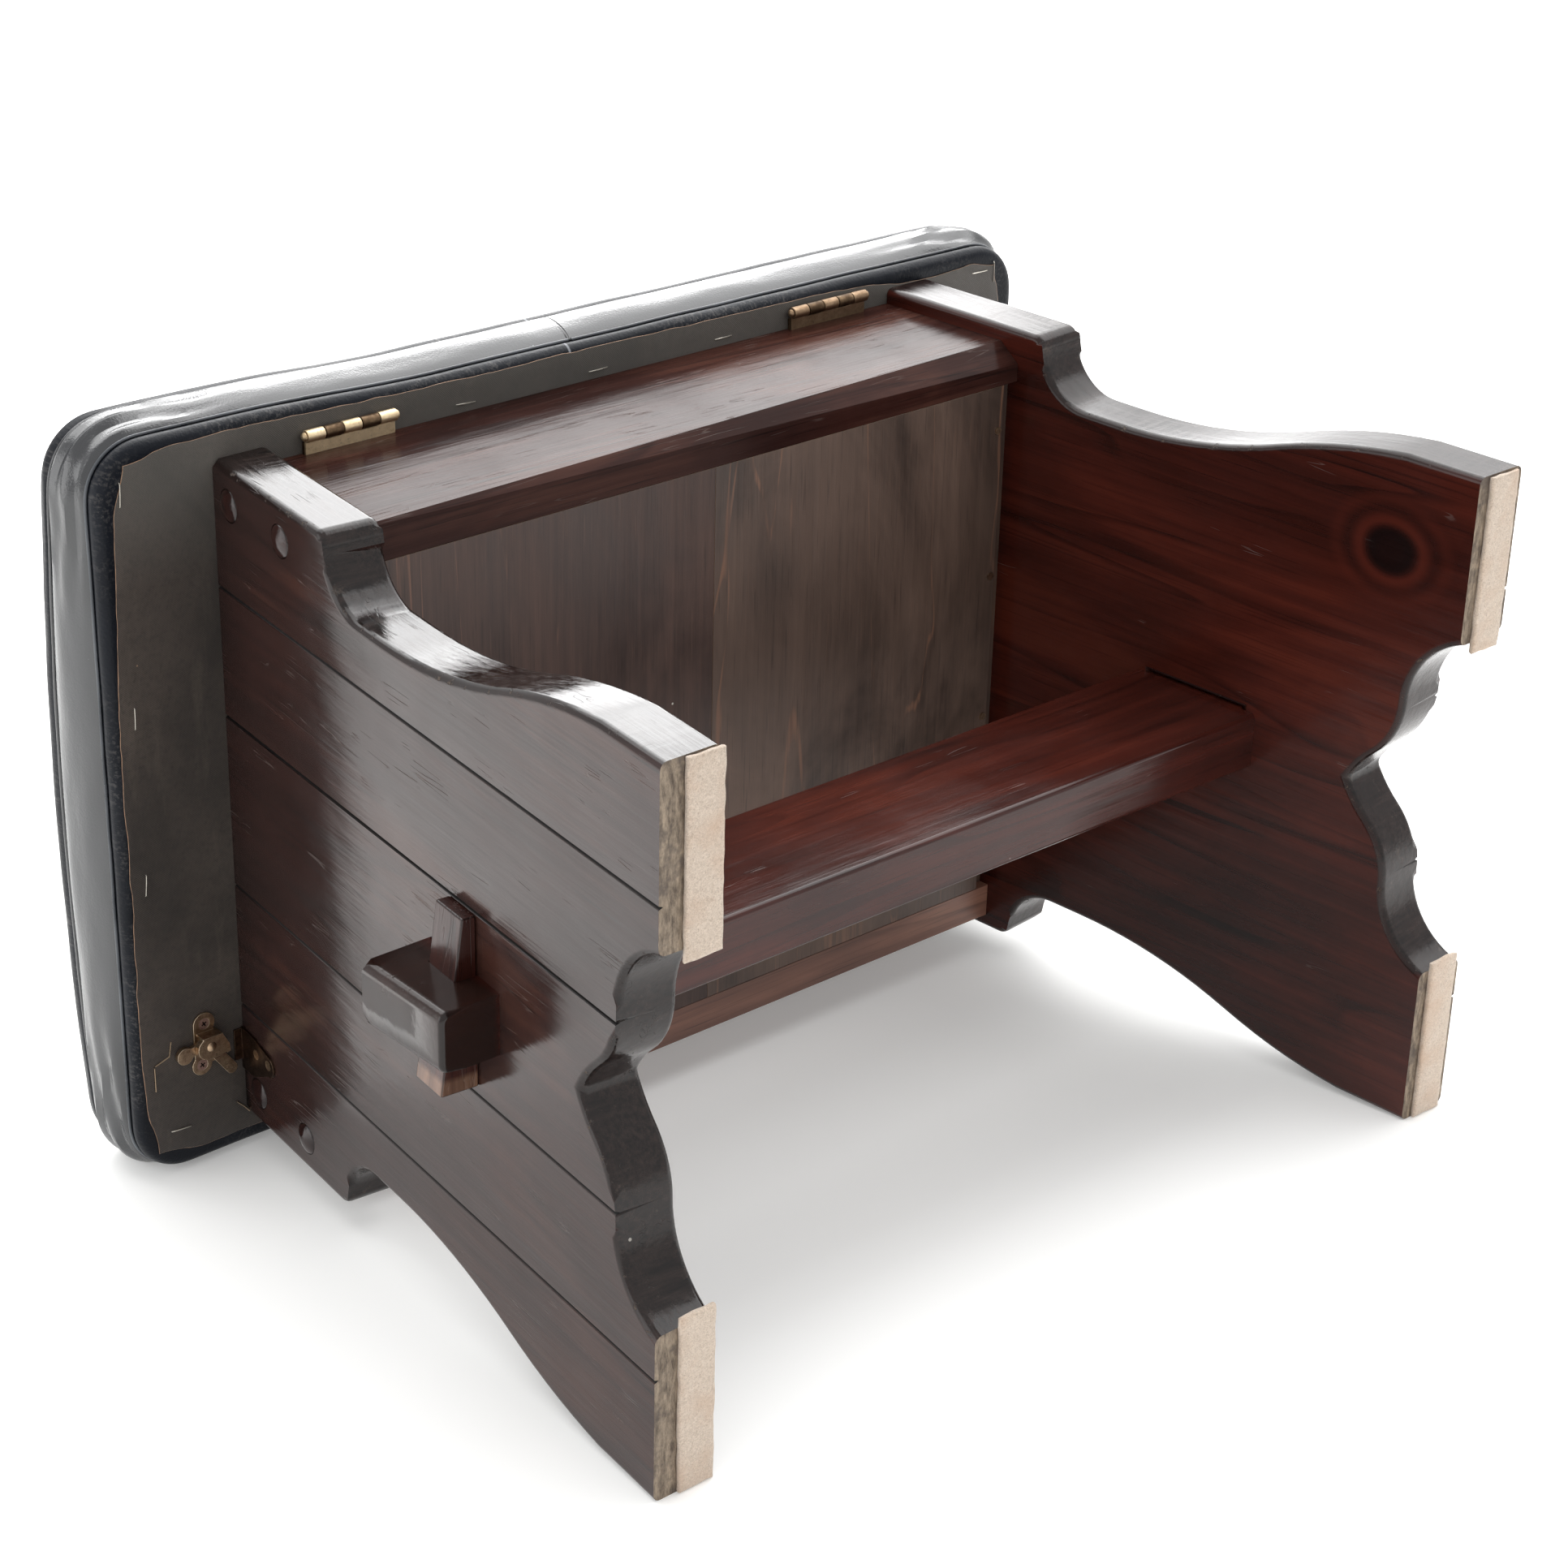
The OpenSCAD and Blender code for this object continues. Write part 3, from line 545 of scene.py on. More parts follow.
def ease(bm, width, segments=2, limit=28, keep=None, clamp=True):
    """Rounds the sharp arrises and marks the rounded points, where the materials lay wear, a painted dark
    reflection and a painted highlight.
    """
    sharp = [e for e in bm.edges if e.is_manifold and e.calc_face_angle(0) > math.radians(limit)]
    if keep:
        sharp = [e for e in sharp if keep(e)]
    if not clamp:
        sharp = roomy(bm, sharp, width, segments)
    rounded = set(round_off(bm, sharp, width, segments, clamp))
    layer = bm.verts.layers.float.new("arris")
    for v in bm.verts:
        if v.link_faces and all(f in rounded for f in v.link_faces):
            v[layer] = 1


def eased_node(name, node, material, width, segments=2, body="frame", slot="dark_wood", limit=28,
               keep=None, cut=None, clamp=True):
    """A piece made of a CAD node, with its arrises rounded."""
    bm = node_bmesh(node)
    if cut:
        cut(bm)
    ease(bm, width, segments, limit, keep, clamp)
    piece = add_piece(name, to_mesh(bm, name), material, body, slot, node)
    piece.modifiers.new("flat_faces", "WEIGHTED_NORMAL").keep_sharp = True


def islands(node):
    """Lowest and highest corner of each loose solid of a CAD node."""
    bm = bmesh.new()
    bm.from_mesh(NODES[node].data)
    bmesh.ops.remove_doubles(bm, verts=bm.verts, dist=2e-6)
    left = set(bm.verts)
    found = []
    while left:
        stack, group = [left.pop()], []
        while stack:
            v = stack.pop()
            group.append(v.co.copy())
            for e in v.link_edges:
                other = e.other_vert(v)
                if other in left:
                    left.discard(other)
                    stack.append(other)
        found.append((Vector(map(min, zip(*group))), Vector(map(max, zip(*group)))))
    bm.free()
    return sorted(found, key=lambda box: tuple(round(c, 4) for c in box[0]))


# ---- end boards ----

FOOT_X = high("end_board_right").x
WAIST_Y = BOARD_HALF_W - 32 * MM
GROOVE_BOTTOM = (1.9 * MM, 2.5 * MM)
FOOT_CUT_TOP = FELT_TOP + 62 * MM
BOARD_ROUND = 3.6 * MM
KNOT_AT, KNOT_SIZE = Vector((low("end_board_left").x + 0.042, 0.1235, 0.0465)), 0.014
PLUGS = [(a + b) / 2 for a, b in islands("screw_plugs")]


def outer_face(z):
    """Distance of a board's outer face from the middle of the bench at this height."""
    return FOOT_X - (z - FELT_TOP) * math.tan(SPLAY)


def mark_grooves(bm):
    """Marks the bottoms of the V grooves, which lie just behind the outer face."""
    layer = bm.verts.layers.float.new("groove")
    for v in bm.verts:
        if GROOVE_BOTTOM[0] < outer_face(v.co.z) - abs(v.co.x) < GROOVE_BOTTOM[1]:
            v[layer] = 1


def on_long_outline(edge):
    """An arris of the board's own outline: those of a groove, a bore or the mortise stay crisp."""
    mid = middle_of(edge)
    along = (edge.verts[0].co - edge.verts[1].co).normalized()
    if any((mid - plug).length < 12 * MM for plug in PLUGS):
        return False
    outside = abs(abs(mid.x) - outer_face(mid.z)) < 2.5 * MM
    if outside and abs(mid.y) < WAIST_Y - 2 * MM:
        if mid.z > FOOT_CUT_TOP:
            return False
        if abs(along.y) < 0.02:
            return abs(along.x) > 0.9
    return FELT_TOP + 0.5 * MM < mid.z < BOARD_TOP - 1 * MM


def end_boards():
    dull = wood("wood_board_right", "Z", SPLAY, sawn=True, figure=0.35, gloss=0.16, haze=0.1,
                deep=rgb(0.008, 0.0036, 0.0032), warm=rgb(0.028, 0.0105, 0.0085),
                pale=rgb(0.056, 0.022, 0.014), scuffed=0.65, pores=0.75, shine=0.33)
    red = wood("wood_board_left", "Z", -SPLAY, sawn=True, figure=0.55, gloss=0.2, seed=3.1,
               deep=rgb(0.0085, 0.003, 0.0026), warm=rgb(0.06, 0.011, 0.0065),
               pale=rgb(0.08, 0.017, 0.009), shine=0.3, scuffed=0.2, pores=0.35,
               knots=[(KNOT_AT, KNOT_SIZE)])
    for node, material in (("end_board_right", dull), ("end_board_left", red)):
        eased_node(node + "_shaped", node, material, BOARD_ROUND, 4, keep=on_long_outline,
                   cut=mark_grooves, clamp=False)


# ---- box ----

def chamfer_back_rail(bm):
    """The lower outer arris was planed off, more and more towards the left end."""
    right, left, y = high("back_rail").x, low("back_rail").x, high("back_rail").y
    a = Vector((right, y, RAIL_LOW_Z + 1.5 * MM))
    b = Vector((right, y - 1.2 * MM, RAIL_LOW_Z))
    c = Vector((left, y, RAIL_LOW_Z + 12 * MM))
    across = (b - a).cross(c - a).normalized()
    if across.y < 0:
        across = -across
    bmesh.ops.bisect_plane(bm, geom=bm.verts[:] + bm.edges[:] + bm.faces[:], plane_co=a, plane_no=across,
                           clear_outer=True)
    bmesh.ops.contextual_create(bm, geom=[e for e in bm.edges if e.is_boundary])


def box():
    rail_wood = wood("wood_rail_back", "X", deep=rgb(0.01, 0.004, 0.0036), warm=rgb(0.036, 0.012, 0.009),
                     pale=rgb(0.075, 0.03, 0.02), gloss=0.17, seed=1.3, figure=0.5, grey=0.05, pores=0.8,
                     scuffed=0.8, relief=1.6, shine=0.05)
    front_wood = wood("wood_rail_front", "X", deep=rgb(0.07, 0.03, 0.021), warm=rgb(0.21, 0.092, 0.062),
                      pale=rgb(0.3, 0.145, 0.09), gloss=0.34, seed=5.3, haze=0.3)
    eased_node("back_rail_shaped", "back_rail", rail_wood, 0.8 * MM, cut=chamfer_back_rail)
    eased_node("front_rail_shaped", "front_rail", front_wood, 1 * MM)
    near = plywood("plywood_right", rgb(0.017, 0.0085, 0.007), rgb(0.08, 0.042, 0.031), 0.5, 2)
    far = plywood("plywood_left", rgb(0.024, 0.0145, 0.011), rgb(0.125, 0.078, 0.058), 0.25, 7)
    for node, panel in (("bottom_panel_right", near), ("bottom_panel_left", far)):
        eased_node(node + "_board", node, panel, 0.35 * MM, 1, slot="plywood")
    plain = bare_wood("wood_cleats", rgb(0.02, 0.01, 0.007), rgb(0.085, 0.045, 0.028))
    for node in ("end_cleat_right", "end_cleat_left", "side_cleat_back", "side_cleat_front"):
        eased_node(node + "_strip", node, plain, 0.8 * MM, slot="plain_wood")


SLOT_END = 22 * MM


def clear_of_boards(edge):
    """The arrises at the shoulders and round the wedge slots stay crisp."""
    mid = middle_of(edge)
    outer = outer_face(mid.z)
    in_slot = outer - 1 * MM < abs(mid.x) < outer + SLOT_END and abs(mid.z - WEDGE_Z) < 14 * MM
    at_board = outer - 36 * MM < abs(mid.x) < outer + 0.5 * MM
    return not in_slot and not at_board


def round_tenons(bm):
    """The four corners of each tenon's end were rasped well round."""
    corners = []
    for e in bm.edges:
        mid, way = middle_of(e), e.verts[1].co - e.verts[0].co
        if abs(mid.x) > outer_face(mid.z) + SLOT_END and abs(way.z) > 0.9 * way.length:
            corners.append(e)
    round_off(bm, corners, 5 * MM, 5)


def stretcher():
    bar_wood = wood("wood_stretcher", "X", deep=rgb(0.013, 0.0036, 0.003), warm=rgb(0.066, 0.0125, 0.0075),
                    pale=rgb(0.09, 0.019, 0.01), gloss=0.19, seed=2.2, figure=0.45, shine=0.36,
                    handled=outer_face(0.165) + 1 * MM,
                    knots=[(Vector((0.155, high("stretcher").y, 0.165)), 0.004)])
    eased_node("stretcher_bar", "stretcher", bar_wood, 2.6 * MM, 4, keep=clear_of_boards,
               cut=round_tenons, clamp=False)
    wedge_wood = wood("wood_wedges", "Y", warm=rgb(0.048, 0.013, 0.009), gloss=0.18, seed=4, scuffed=0.8,
                      pale_end=low("wedge_right").y + 9 * MM)
    for node in ("wedge_right", "wedge_left"):
        eased_node(node + "_key", node, wedge_wood, 1 * MM)


# ---- seat ----

LOWER_CREASE = 9
UPPER_CREASE = 38.5
# outward shift from the lid's edge and height above its underside, in mm
SEAT_PROFILE = [
    (-24, 0.75), (-15, 0.7), (-9, 0.65), (-6, 0.6), (-4.2, 0.7), (-2.6, 1.2), (-1.2, 2.4), (-0.2, 4.2),
    (0.2, 6), (-0.1, 7.6), (-1, LOWER_CREASE), (0.3, 10.2), (2.2, 12.2), (3.8, 15), (5, 18.5),
    (5.7, 22.5), (5.8, 26.5), (5.2, 30.5), (4, 34), (2.4, 36.8), (1, UPPER_CREASE), (2.4, 40.2),
    (3.3, 43), (2.9, 45.8), (1.2, 48.2), (-1.6, 49.8), (-5, 50.7), (-9, 51.2), (-14, 51.8), (-20, 52.3),
]
OUTLINE_COUNT = 320
TOP_STEPS = 26
TOP_RISE = 52.4
CLOTH_FRAMES = 20
PUFF_CAP = 1.3 * MM
CORD_SIDES = 10


def outline(half_x, half_y, radius, count):
    """Points evenly spaced round a rounded rectangle, each with its outward direction."""
    straight_x, straight_y, turn = 2 * (half_x - radius), 2 * (half_y - radius), math.pi / 2 * radius
    total = 2 * (straight_x + straight_y + 2 * turn)
    legs = [
        (straight_y / 2, (half_x, 0), (0, 1), (1, 0)),
        (turn, (half_x - radius, half_y - radius), 0, None),
        (straight_x, (half_x - radius, half_y), (-1, 0), (0, 1)),
        (turn, (radius - half_x, half_y - radius), 1, None),
        (straight_y, (-half_x, half_y - radius), (0, -1), (-1, 0)),
        (turn, (radius - half_x, radius - half_y), 2, None),
        (straight_x, (radius - half_x, -half_y), (1, 0), (0, -1)),
        (turn, (half_x - radius, radius - half_y), 3, None),
        (straight_y / 2, (half_x, radius - half_y), (0, 1), (1, 0)),
    ]
    points = []
    for i in range(count):
        left = total * i / count
        for length, start, way, out in legs:
            if left <= length:
                break
            left -= length
        if out is None:
            a = way * math.pi / 2 + left / radius
            n = Vector((math.cos(a), math.sin(a)))
            points.append((Vector(start) + n * radius, n))
        else:
            points.append((Vector(start) + Vector(way) * left, Vector(out)))
    return points


SEAT_HALF = Vector((281 * MM, 187 * MM))
SEAT_OUTLINE = outline(SEAT_HALF.x, SEAT_HALF.y, 27 * MM, OUTLINE_COUNT)
SEAT_CORNERS = [Vector((sx * (SEAT_HALF.x - 8 * MM), sy * (SEAT_HALF.y - 8 * MM)))
                for sx in (-1, 1) for sy in (-1, 1)]


def corner_pull(p):
    """1 in the middle of a corner's turn, fading out along the straight sides."""
    return smooth(0.1, 0.015, min((p - c).length for c in SEAT_CORNERS))


def lid_lean(x, y):
    """How the upholstered lid sits out of true on its frame, a few millimetres forward at the left."""
    back = -3.4 + 8 * x + 3.6 * smooth(0.09, 0.21, x)
    side = -5 + 5.6 * smooth(-0.2, 0.2, x)
    return Vector((side, -5 + (back + 5) * smooth(-0.1, 0.12, y), 0)) * MM


def seat_point(i, shift, rise):
    """A point of the cushion's skin, with the slack and folds of stretched vinyl."""
    p, n = SEAT_OUTLINE[i]
    pull = corner_pull(p)
    band = smooth(LOWER_CREASE, LOWER_CREASE + 6, rise) * smooth(UPPER_CREASE, UPPER_CREASE - 5, rise)
    slack = 0.9 * band * wobble(p.x, p.y, rise * MM * 6, 0.045, 1)
    slack += 0.5 * band * wobble(p.x, p.y, rise * MM * 2.2, 0.012, 5) * (0.35 + pull)
    slack += 0.35 * (1 - band) * wobble(p.x, p.y, rise * MM, 0.03, 9)
    fold = band * pull * 2.6 * math.sin(rise * 0.62 + 5 * wobble(p.x, p.y, 0, 0.05, 3))
    swollen = max(0, n.x) * max(0, 1 - (p.y / 0.165) ** 2) * smooth(16, 42, rise)
    out = (shift + slack + fold + 4.6 * swollen) * MM
    wave = 0.5 * MM * wobble(p.x, p.y, 0, 0.09, 12) * smooth(2, 9, rise) + 2.4 * MM * swollen
    return Vector((p.x + n.x * out, p.y + n.y * out, LID_Z + rise * MM + wave)) + lid_lean(p.x, p.y)


def puff(piece, pinned):
    """Blows the skin up between its seams as cloth, with no point moving further than PUFF_CAP."""
    group = piece.vertex_groups.new(name="pinned")
    group.add(pinned, 1, "REPLACE")
    cloth = piece.modifiers.new("cloth", "CLOTH")
    settings = cloth.settings
    settings.quality = 5
    settings.mass = 0.3
    settings.tension_stiffness = settings.compression_stiffness = 25
    settings.shear_stiffness = 10
    settings.bending_stiffness = 3
    settings.vertex_group_mass = "pinned"
    settings.use_pressure = True
    settings.uniform_pressure_force = 4
    settings.effector_weights.gravity = 0
    cloth.point_cache.frame_start, cloth.point_cache.frame_end = 1, CLOTH_FRAMES
    for step in range(1, CLOTH_FRAMES + 1):
        bpy.context.scene.frame_set(step)
    blown = piece.evaluated_get(bpy.context.evaluated_depsgraph_get())
    places = [v.co.copy() for v in blown.data.vertices]
    piece.modifiers.remove(cloth)
    piece.vertex_groups.remove(group)
    for v, place in zip(piece.data.vertices, places):
        move = place - v.co
        if move.length > PUFF_CAP:
            move *= PUFF_CAP / move.length
        v.co += move
    bpy.context.scene.frame_set(1)


def tuck_in(bm):
    """The board keeps a finger's width inside the vinyl that is pulled round it."""
    for v in bm.verts:
        if abs(v.co.x) > SEAT_HALF.x - 30 * MM:
            v.co.x -= math.copysign(7 * MM, v.co.x)
        if abs(v.co.y) > SEAT_HALF.y - 12 * MM:
            v.co.y -= math.copysign(8 * MM, v.co.y)


def seat_cushion(material, roll_material):
    """The vinyl skin: boxing, rolled edges and crown, in two finishes."""
    bm = bmesh.new()
    roll_layer = bm.verts.layers.float.new("roll")
    rings = []
    for shift, rise in SEAT_PROFILE:
        on_roll = 1 if rise < LOWER_CREASE or UPPER_CREASE < rise < 48.5 else 0
        ring = []
        for i in range(OUTLINE_COUNT):
            v = bm.verts.new(seat_point(i, shift, rise))
            v[roll_layer] = on_roll
            ring.append(v)
        rings.append(ring)
    rises = [rise for _, rise in SEAT_PROFILE]
    sewn = [k for k, rise in enumerate(rises) if rise <= 2.4 or rise in (LOWER_CREASE, UPPER_CREASE)]
    spine = SEAT_HALF.x - SEAT_HALF.y
    last = [v.co.copy() for v in rings[-1]]
    for k in range(1, TOP_STEPS + 1):
        w = 0.985 * (k / TOP_STEPS) ** 0.85
        ring = []
        for start in last:
            middle = Vector((max(-spine, min(spine, start.x)), -3 * MM, 0))
            x, y = start.x + (middle.x - start.x) * w, start.y + (middle.y - start.y) * w
            crown = 3 * MM * (1 - (x / SEAT_HALF.x) ** 2) * (1 - (y / SEAT_HALF.y) ** 2)
            pucker = 0.7 * MM * wobble(x, y, 0, 0.11, 2) + 0.25 * MM * wobble(x, y, 0, 0.03, 6)
            edge_left = (1 - w) ** 3
            level = start.z * edge_left + (LID_Z + TOP_RISE * MM) * (1 - edge_left)
            ring.append(bm.verts.new((x, y, level + crown * smooth(0, 0.2, w) + pucker * w)))
        rings.append(ring)
    for k, (a, b) in enumerate(zip(rings, rings[1:])):
        rolled = k + 1 < len(rises) and (rises[k + 1] <= LOWER_CREASE or UPPER_CREASE <= rises[k] < 50)
        for i in range(OUTLINE_COUNT):
            j = (i + 1) % OUTLINE_COUNT
            bm.faces.new((a[i], a[j], b[j], b[i])).material_index = 1 if rolled else 0
    top = rings[-1]
    for i in range(OUTLINE_COUNT // 2):
        corners = list(dict.fromkeys([top[i], top[i + 1], top[-i - 1 if i else 0], top[-i]]))
        if len(corners) > 2:
            bm.faces.new(corners)
    bm.verts.index_update()
    pinned = [v.index for k in sewn for v in rings[k]]
    cushion = add_piece("seat_cushion", to_mesh(bm, "seat_cushion", 60), material, "lid", "vinyl",
                        "seat_cover", "seat_pad")
    cushion.data.materials.append(roll_material)
    puff(cushion, pinned)
    cushion.modifiers.new("smoother", "SUBSURF").render_levels = 1


def piping(name, node, shift, rise, radius, material):
    """A thin cord sewn into the crease, which wanders a little with the vinyl."""
    bm = bmesh.new()
    bm.verts.layers.float.new("roll")
    rings = []
    for i in range(OUTLINE_COUNT):
        p = seat_point(i, shift, rise)
        out = SEAT_OUTLINE[i][1].to_3d()
        bead = radius * MM * (1 + 0.12 * wobble(p.x, p.y, 0, 0.012, 4))
        rings.append([bm.verts.new(p + out * bead * math.cos(a) + UP * bead * math.sin(a))
                      for a in (2 * math.pi * k / CORD_SIDES for k in range(CORD_SIDES))])
    for i in range(OUTLINE_COUNT):
        a, b = rings[i], rings[(i + 1) % OUTLINE_COUNT]
        for k in range(CORD_SIDES):
            m = (k + 1) % CORD_SIDES
            bm.faces.new((a[k], b[k], b[m], a[m]))
    cord = add_piece(name, to_mesh(bm, name, 80), material, "lid", "vinyl", node)
    cord.modifiers.new("smoother", "SUBSURF").render_levels = 1


# ---- dust cover and staples ----

COVER_HALF = high("dust_cover").xy
COVER_GRID = (190, 130)
COVER_EDGE = (0, 0.0025, 0.006)
COVER_INNER = 0.012


def spread(k, count):
    """-1 to 1, with the last three steps close to the edge."""
    if k < 3:
        return -1 + COVER_EDGE[k]
    if k > count - 3:
        return 1 - COVER_EDGE[count - k]
    return -1 + COVER_INNER + 2 * (1 - COVER_INNER) * (k - 3) / (count - 6)


def dust_cover(material):
    """A cloth under the lid whose torn edge wanders and frays."""
    columns, rows = COVER_GRID
    bm = bmesh.new()
    fray = bm.verts.layers.float.new("fray")
    grid = []
    for c in range(columns + 1):
        column = []
        for r in range(rows + 1):
            u, v = spread(c, columns), spread(r, rows)
            x, y = u * COVER_HALF.x, v * COVER_HALF.y
            ragged_x = 1.3 * wobble(0, y, u, 0.06, 1.5) + 0.7 * wobble(0, y, u, 0.01, 3.5)
            ragged_y = 1.2 * wobble(x, 0, v, 0.07, 4.5) + 0.7 * wobble(x, 0, v, 0.01, 8.5)
            pulled_in = 5 * max(0, v) ** 2 if u > 0 else 0
            notch = 3.5 * smooth(-0.17, -0.21, x) * smooth(-0.262, -0.24, x) if v > 0 else 0
            corner = 5 * smooth(0.88, 1, abs(u)) * smooth(0.82, 1, abs(v))
            back = -0.4 + 17.5 * x - notch
            x += (1.2 + abs(u) ** 3 * math.copysign(1, u) * (ragged_x - pulled_in - corner)) * MM
            y += ((back if v > 0 else -2.2) * abs(v) + v ** 3 * (ragged_y - corner)) * MM
            clear = smooth(0, 0.02, 1 - max(abs(u), abs(v)))
            sag = 0.28 * (1 + wobble(x, y, 0, 0.08, 7)) * clear
            vert = bm.verts.new((x, y, LID_Z + (0.3 - sag + 0.15 * wobble(x, y, 0, 0.02, 2.2)) * MM))
            vert[fray] = 1 if c in (0, columns) or r in (0, rows) else 0
            column.append(vert)
        grid.append(column)
    for c in range(columns):
        for r in range(rows):
            bm.faces.new((grid[c][r], grid[c][r + 1], grid[c + 1][r + 1], grid[c + 1][r]))
    piece = add_piece("dust_cover_cloth", to_mesh(bm, "dust_cover_cloth", 70), material, "lid", "dust_cloth",
                      "dust_cover")
    solid = piece.modifiers.new("thickness", "SOLIDIFY")
    solid.thickness = 0.25 * MM
    solid.offset = 0


def tube(bm, points, radius, sides=6):
    """A round wire through the points."""
    rings = []
    for i, p in enumerate(points):
        before, after = points[max(0, i - 1)], points[min(len(points) - 1, i + 1)]
        way = (after - before).normalized()
        side = way.cross(Vector((0.31, 0.77, 0.55))).normalized()
        up = way.cross(side)
        rings.append([bm.verts.new(p + (side * math.cos(a) + up * math.sin(a)) * radius)
                      for a in (2 * math.pi * k / sides for k in range(sides))])
    for a, b in zip(rings, rings[1:]):
        for k in range(sides):
            m = (k + 1) % sides
            bm.faces.new((a[k], a[m], b[m], b[k]))
    bm.faces.new(rings[0])
    bm.faces.new(list(reversed(rings[-1])))


def staples(material):
    """A bowed, slightly skewed wire staple for each solid of the CAD node."""
    bm = bmesh.new()
    for n, (a, b) in enumerate(islands("cover_staples")):
        size = b - a
        half = max(size.x, size.y) / 2
        skew = 0.14 * wobble(n * 1.7, 0, 0, 1, 3.3)
        way = Vector((math.cos(skew), math.sin(skew), 0))
        if size.x <= size.y:
            way = way.yxz
        lift = UP * (0.15 + 0.3 * abs(wobble(n * 2.3, 0, 0, 1, 8.3))) * MM
        centre = Vector(((a.x + b.x) / 2, (a.y + b.y) / 2, LID_Z - 0.15 * MM))
        leg, bend = UP * 3 * MM, UP * 0.5 * MM - lift * 0.5
        end, shoulder = way * half, way * (half - 0.6 * MM)
        tube(bm, [centre - end + leg, centre - end + bend, centre - shoulder - lift, centre - lift * 1.6,
                  centre + shoulder - lift, centre + end + bend, centre + end + leg], 0.3 * MM)
    add_piece("staples", to_mesh(bm, "staples", 50), material, "lid", "steel", "cover_staples")


def loose_staples(material):
    """Staples and a brad that were pulled, bent over and left near the catch."""
    bent = [
        [(262, -118.4), (263.4, -126.1), (271.3, -128.7)],
        [(271.8, -129.5), (271.8, -142.7)],
        [(226.9, -165.6), (223.3, -169.4), (220.2, -173.4)],
    ]
    bm = bmesh.new()
    for path in bent:
        points = [Vector((x * MM, y * MM, LID_Z - 0.55 * MM)) for x, y in path]
        leg = UP * 1.4 * MM
        tube(bm, [points[0] + leg] + points + [points[-1] + leg], 0.36 * MM)
    add_piece("loose_staples", to_mesh(bm, "loose_staples", 50), material, "lid", "steel")


# ---- felt ----

FELT_STEPS = (14, 62, 4)


def felt_strip(node, material):
    """A block of felt with soft, uneven edges."""
    a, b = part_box(node)
    size = b - a
    seed = 10 * a.x + a.y
    nx, ny, nz = FELT_STEPS
    bm = bmesh.new()
    shell = {}

    def vert(*key):
        if key not in shell:
            t = Vector([n / steps for n, steps in zip(key, FELT_STEPS)])
            p = a + size * t
            edge, end = abs(t.x - 0.5) * 2, abs(t.y - 0.5) * 2
            swell = 0.9 * (1 - (2 * t.z - 1) ** 2)
            p.x += (2 * t.x - 1) * MM * (0.45 * swell + 0.5 * wobble(p.x, p.y, p.z, 0.007, seed) * edge)
            p.y += (2 * t.y - 1) * MM * (0.45 * swell + 0.7 * wobble(p.x, p.y, p.z, 0.006, seed + 3) * end)
            if t.z < 1:
                p.z += MM * 0.22 * wobble(p.x, p.y, p.z, 0.004, seed + 6)
            if t.z == 0:
                p.z += 0.35 * MM * min(1, smooth(0.88, 1, edge) + smooth(0.97, 1, end))
            p.z = max(p.z, a.z)
            shell[key] = bm.verts.new(p)
        return shell[key]

    def side(count_a, count_b, place):
        for m in range(count_a):
            for n in range(count_b):
                bm.faces.new([vert(*place(m + dm, n + dn)) for dm, dn in ((0, 0), (1, 0), (1, 1), (0, 1))])

    for far in (0, 1):
        side(nx, ny, lambda m, n: (m, n, far * nz))
        side(nx, nz, lambda m, n: (m, far * ny, n))
        side(ny, nz, lambda m, n: (far * nx, m, n))
    add_piece(node + "_pad", to_mesh(bm, node + "_pad", 80), material, "frame", "felt", node)


# ---- metal ----

def finish_node(node, material):
    """Gives a CAD node that stays as it is its material."""
    NODES[node].material_slots[0].material = material


def hardware():
    bright = brass("brass_hinge_right", rgb(0.84, 0.68, 0.45), rgb(0.54, 0.41, 0.25), 0.4, 0.36)
    dull = brass("brass_hinge_left", rgb(0.32, 0.22, 0.14), rgb(0.17, 0.11, 0.065), 0.55, 0.36,
                 rim_wear_and_highlight=rgb(0.46, 0.34, 0.22))
    # The lid leaves and their knuckles get a darker copy of the hinge brass: painted shade.
    shaded = brass("brass_lid_leaves_painted_shade", rgb(0.2, 0.135, 0.08), rgb(0.07, 0.044, 0.026), 0.8, 0.34)
    for hinge, metal in (("hinge_right", bright), ("hinge_left", dull)):
        eased_node(hinge + "_rail_half", hinge + "_rail_leaf", metal, 0.22 * MM, 1, "frame", "brass")
        eased_node(hinge + "_lid_half", hinge + "_lid_leaf", shaded, 0.22 * MM, 1, "lid", "brass")
        finish_node(hinge + "_pin", metal)
    for node in ("rail_leaf_screws", "lid_leaf_screws"):
        finish_node(node, dull)
    antique = brass("brass_antique", rgb(0.56, 0.41, 0.27), rgb(0.2, 0.125, 0.082), 0.65, 0.22,
                    rim_wear_and_highlight=rgb(0.98, 0.84, 0.62))
    dark = brass("brass_dark", rgb(0.13, 0.078, 0.052), rgb(0.045, 0.026, 0.018), 0.85, 0.24,
                 rim_wear_and_highlight=rgb(0.66, 0.46, 0.3))
    for node, body in (("catch_base", "lid"), ("catch_lever", "catch_lever")):
        eased_node(node + "_worn", node, antique, 0.45 * MM, 2, body, "old_brass")
    eased_node("strike_plate_worn", "strike_plate", dark, 0.45 * MM, slot="old_brass")
    for node in ("strike_screws", "catch_rivet", "panel_nails"):
        finish_node(node, antique)
    finish_node("rail_screws", steel("steel_screws", rgb(0.42, 0.4, 0.37)))
    finish_node("catch_screws", screw_metal("steel_catch_screws", "catch_screws"))
    staples(steel("steel_staples", rgb(0.55, 0.52, 0.46)))
    loose_staples(steel("steel_loose_staples", rgb(0.34, 0.25, 0.17)))


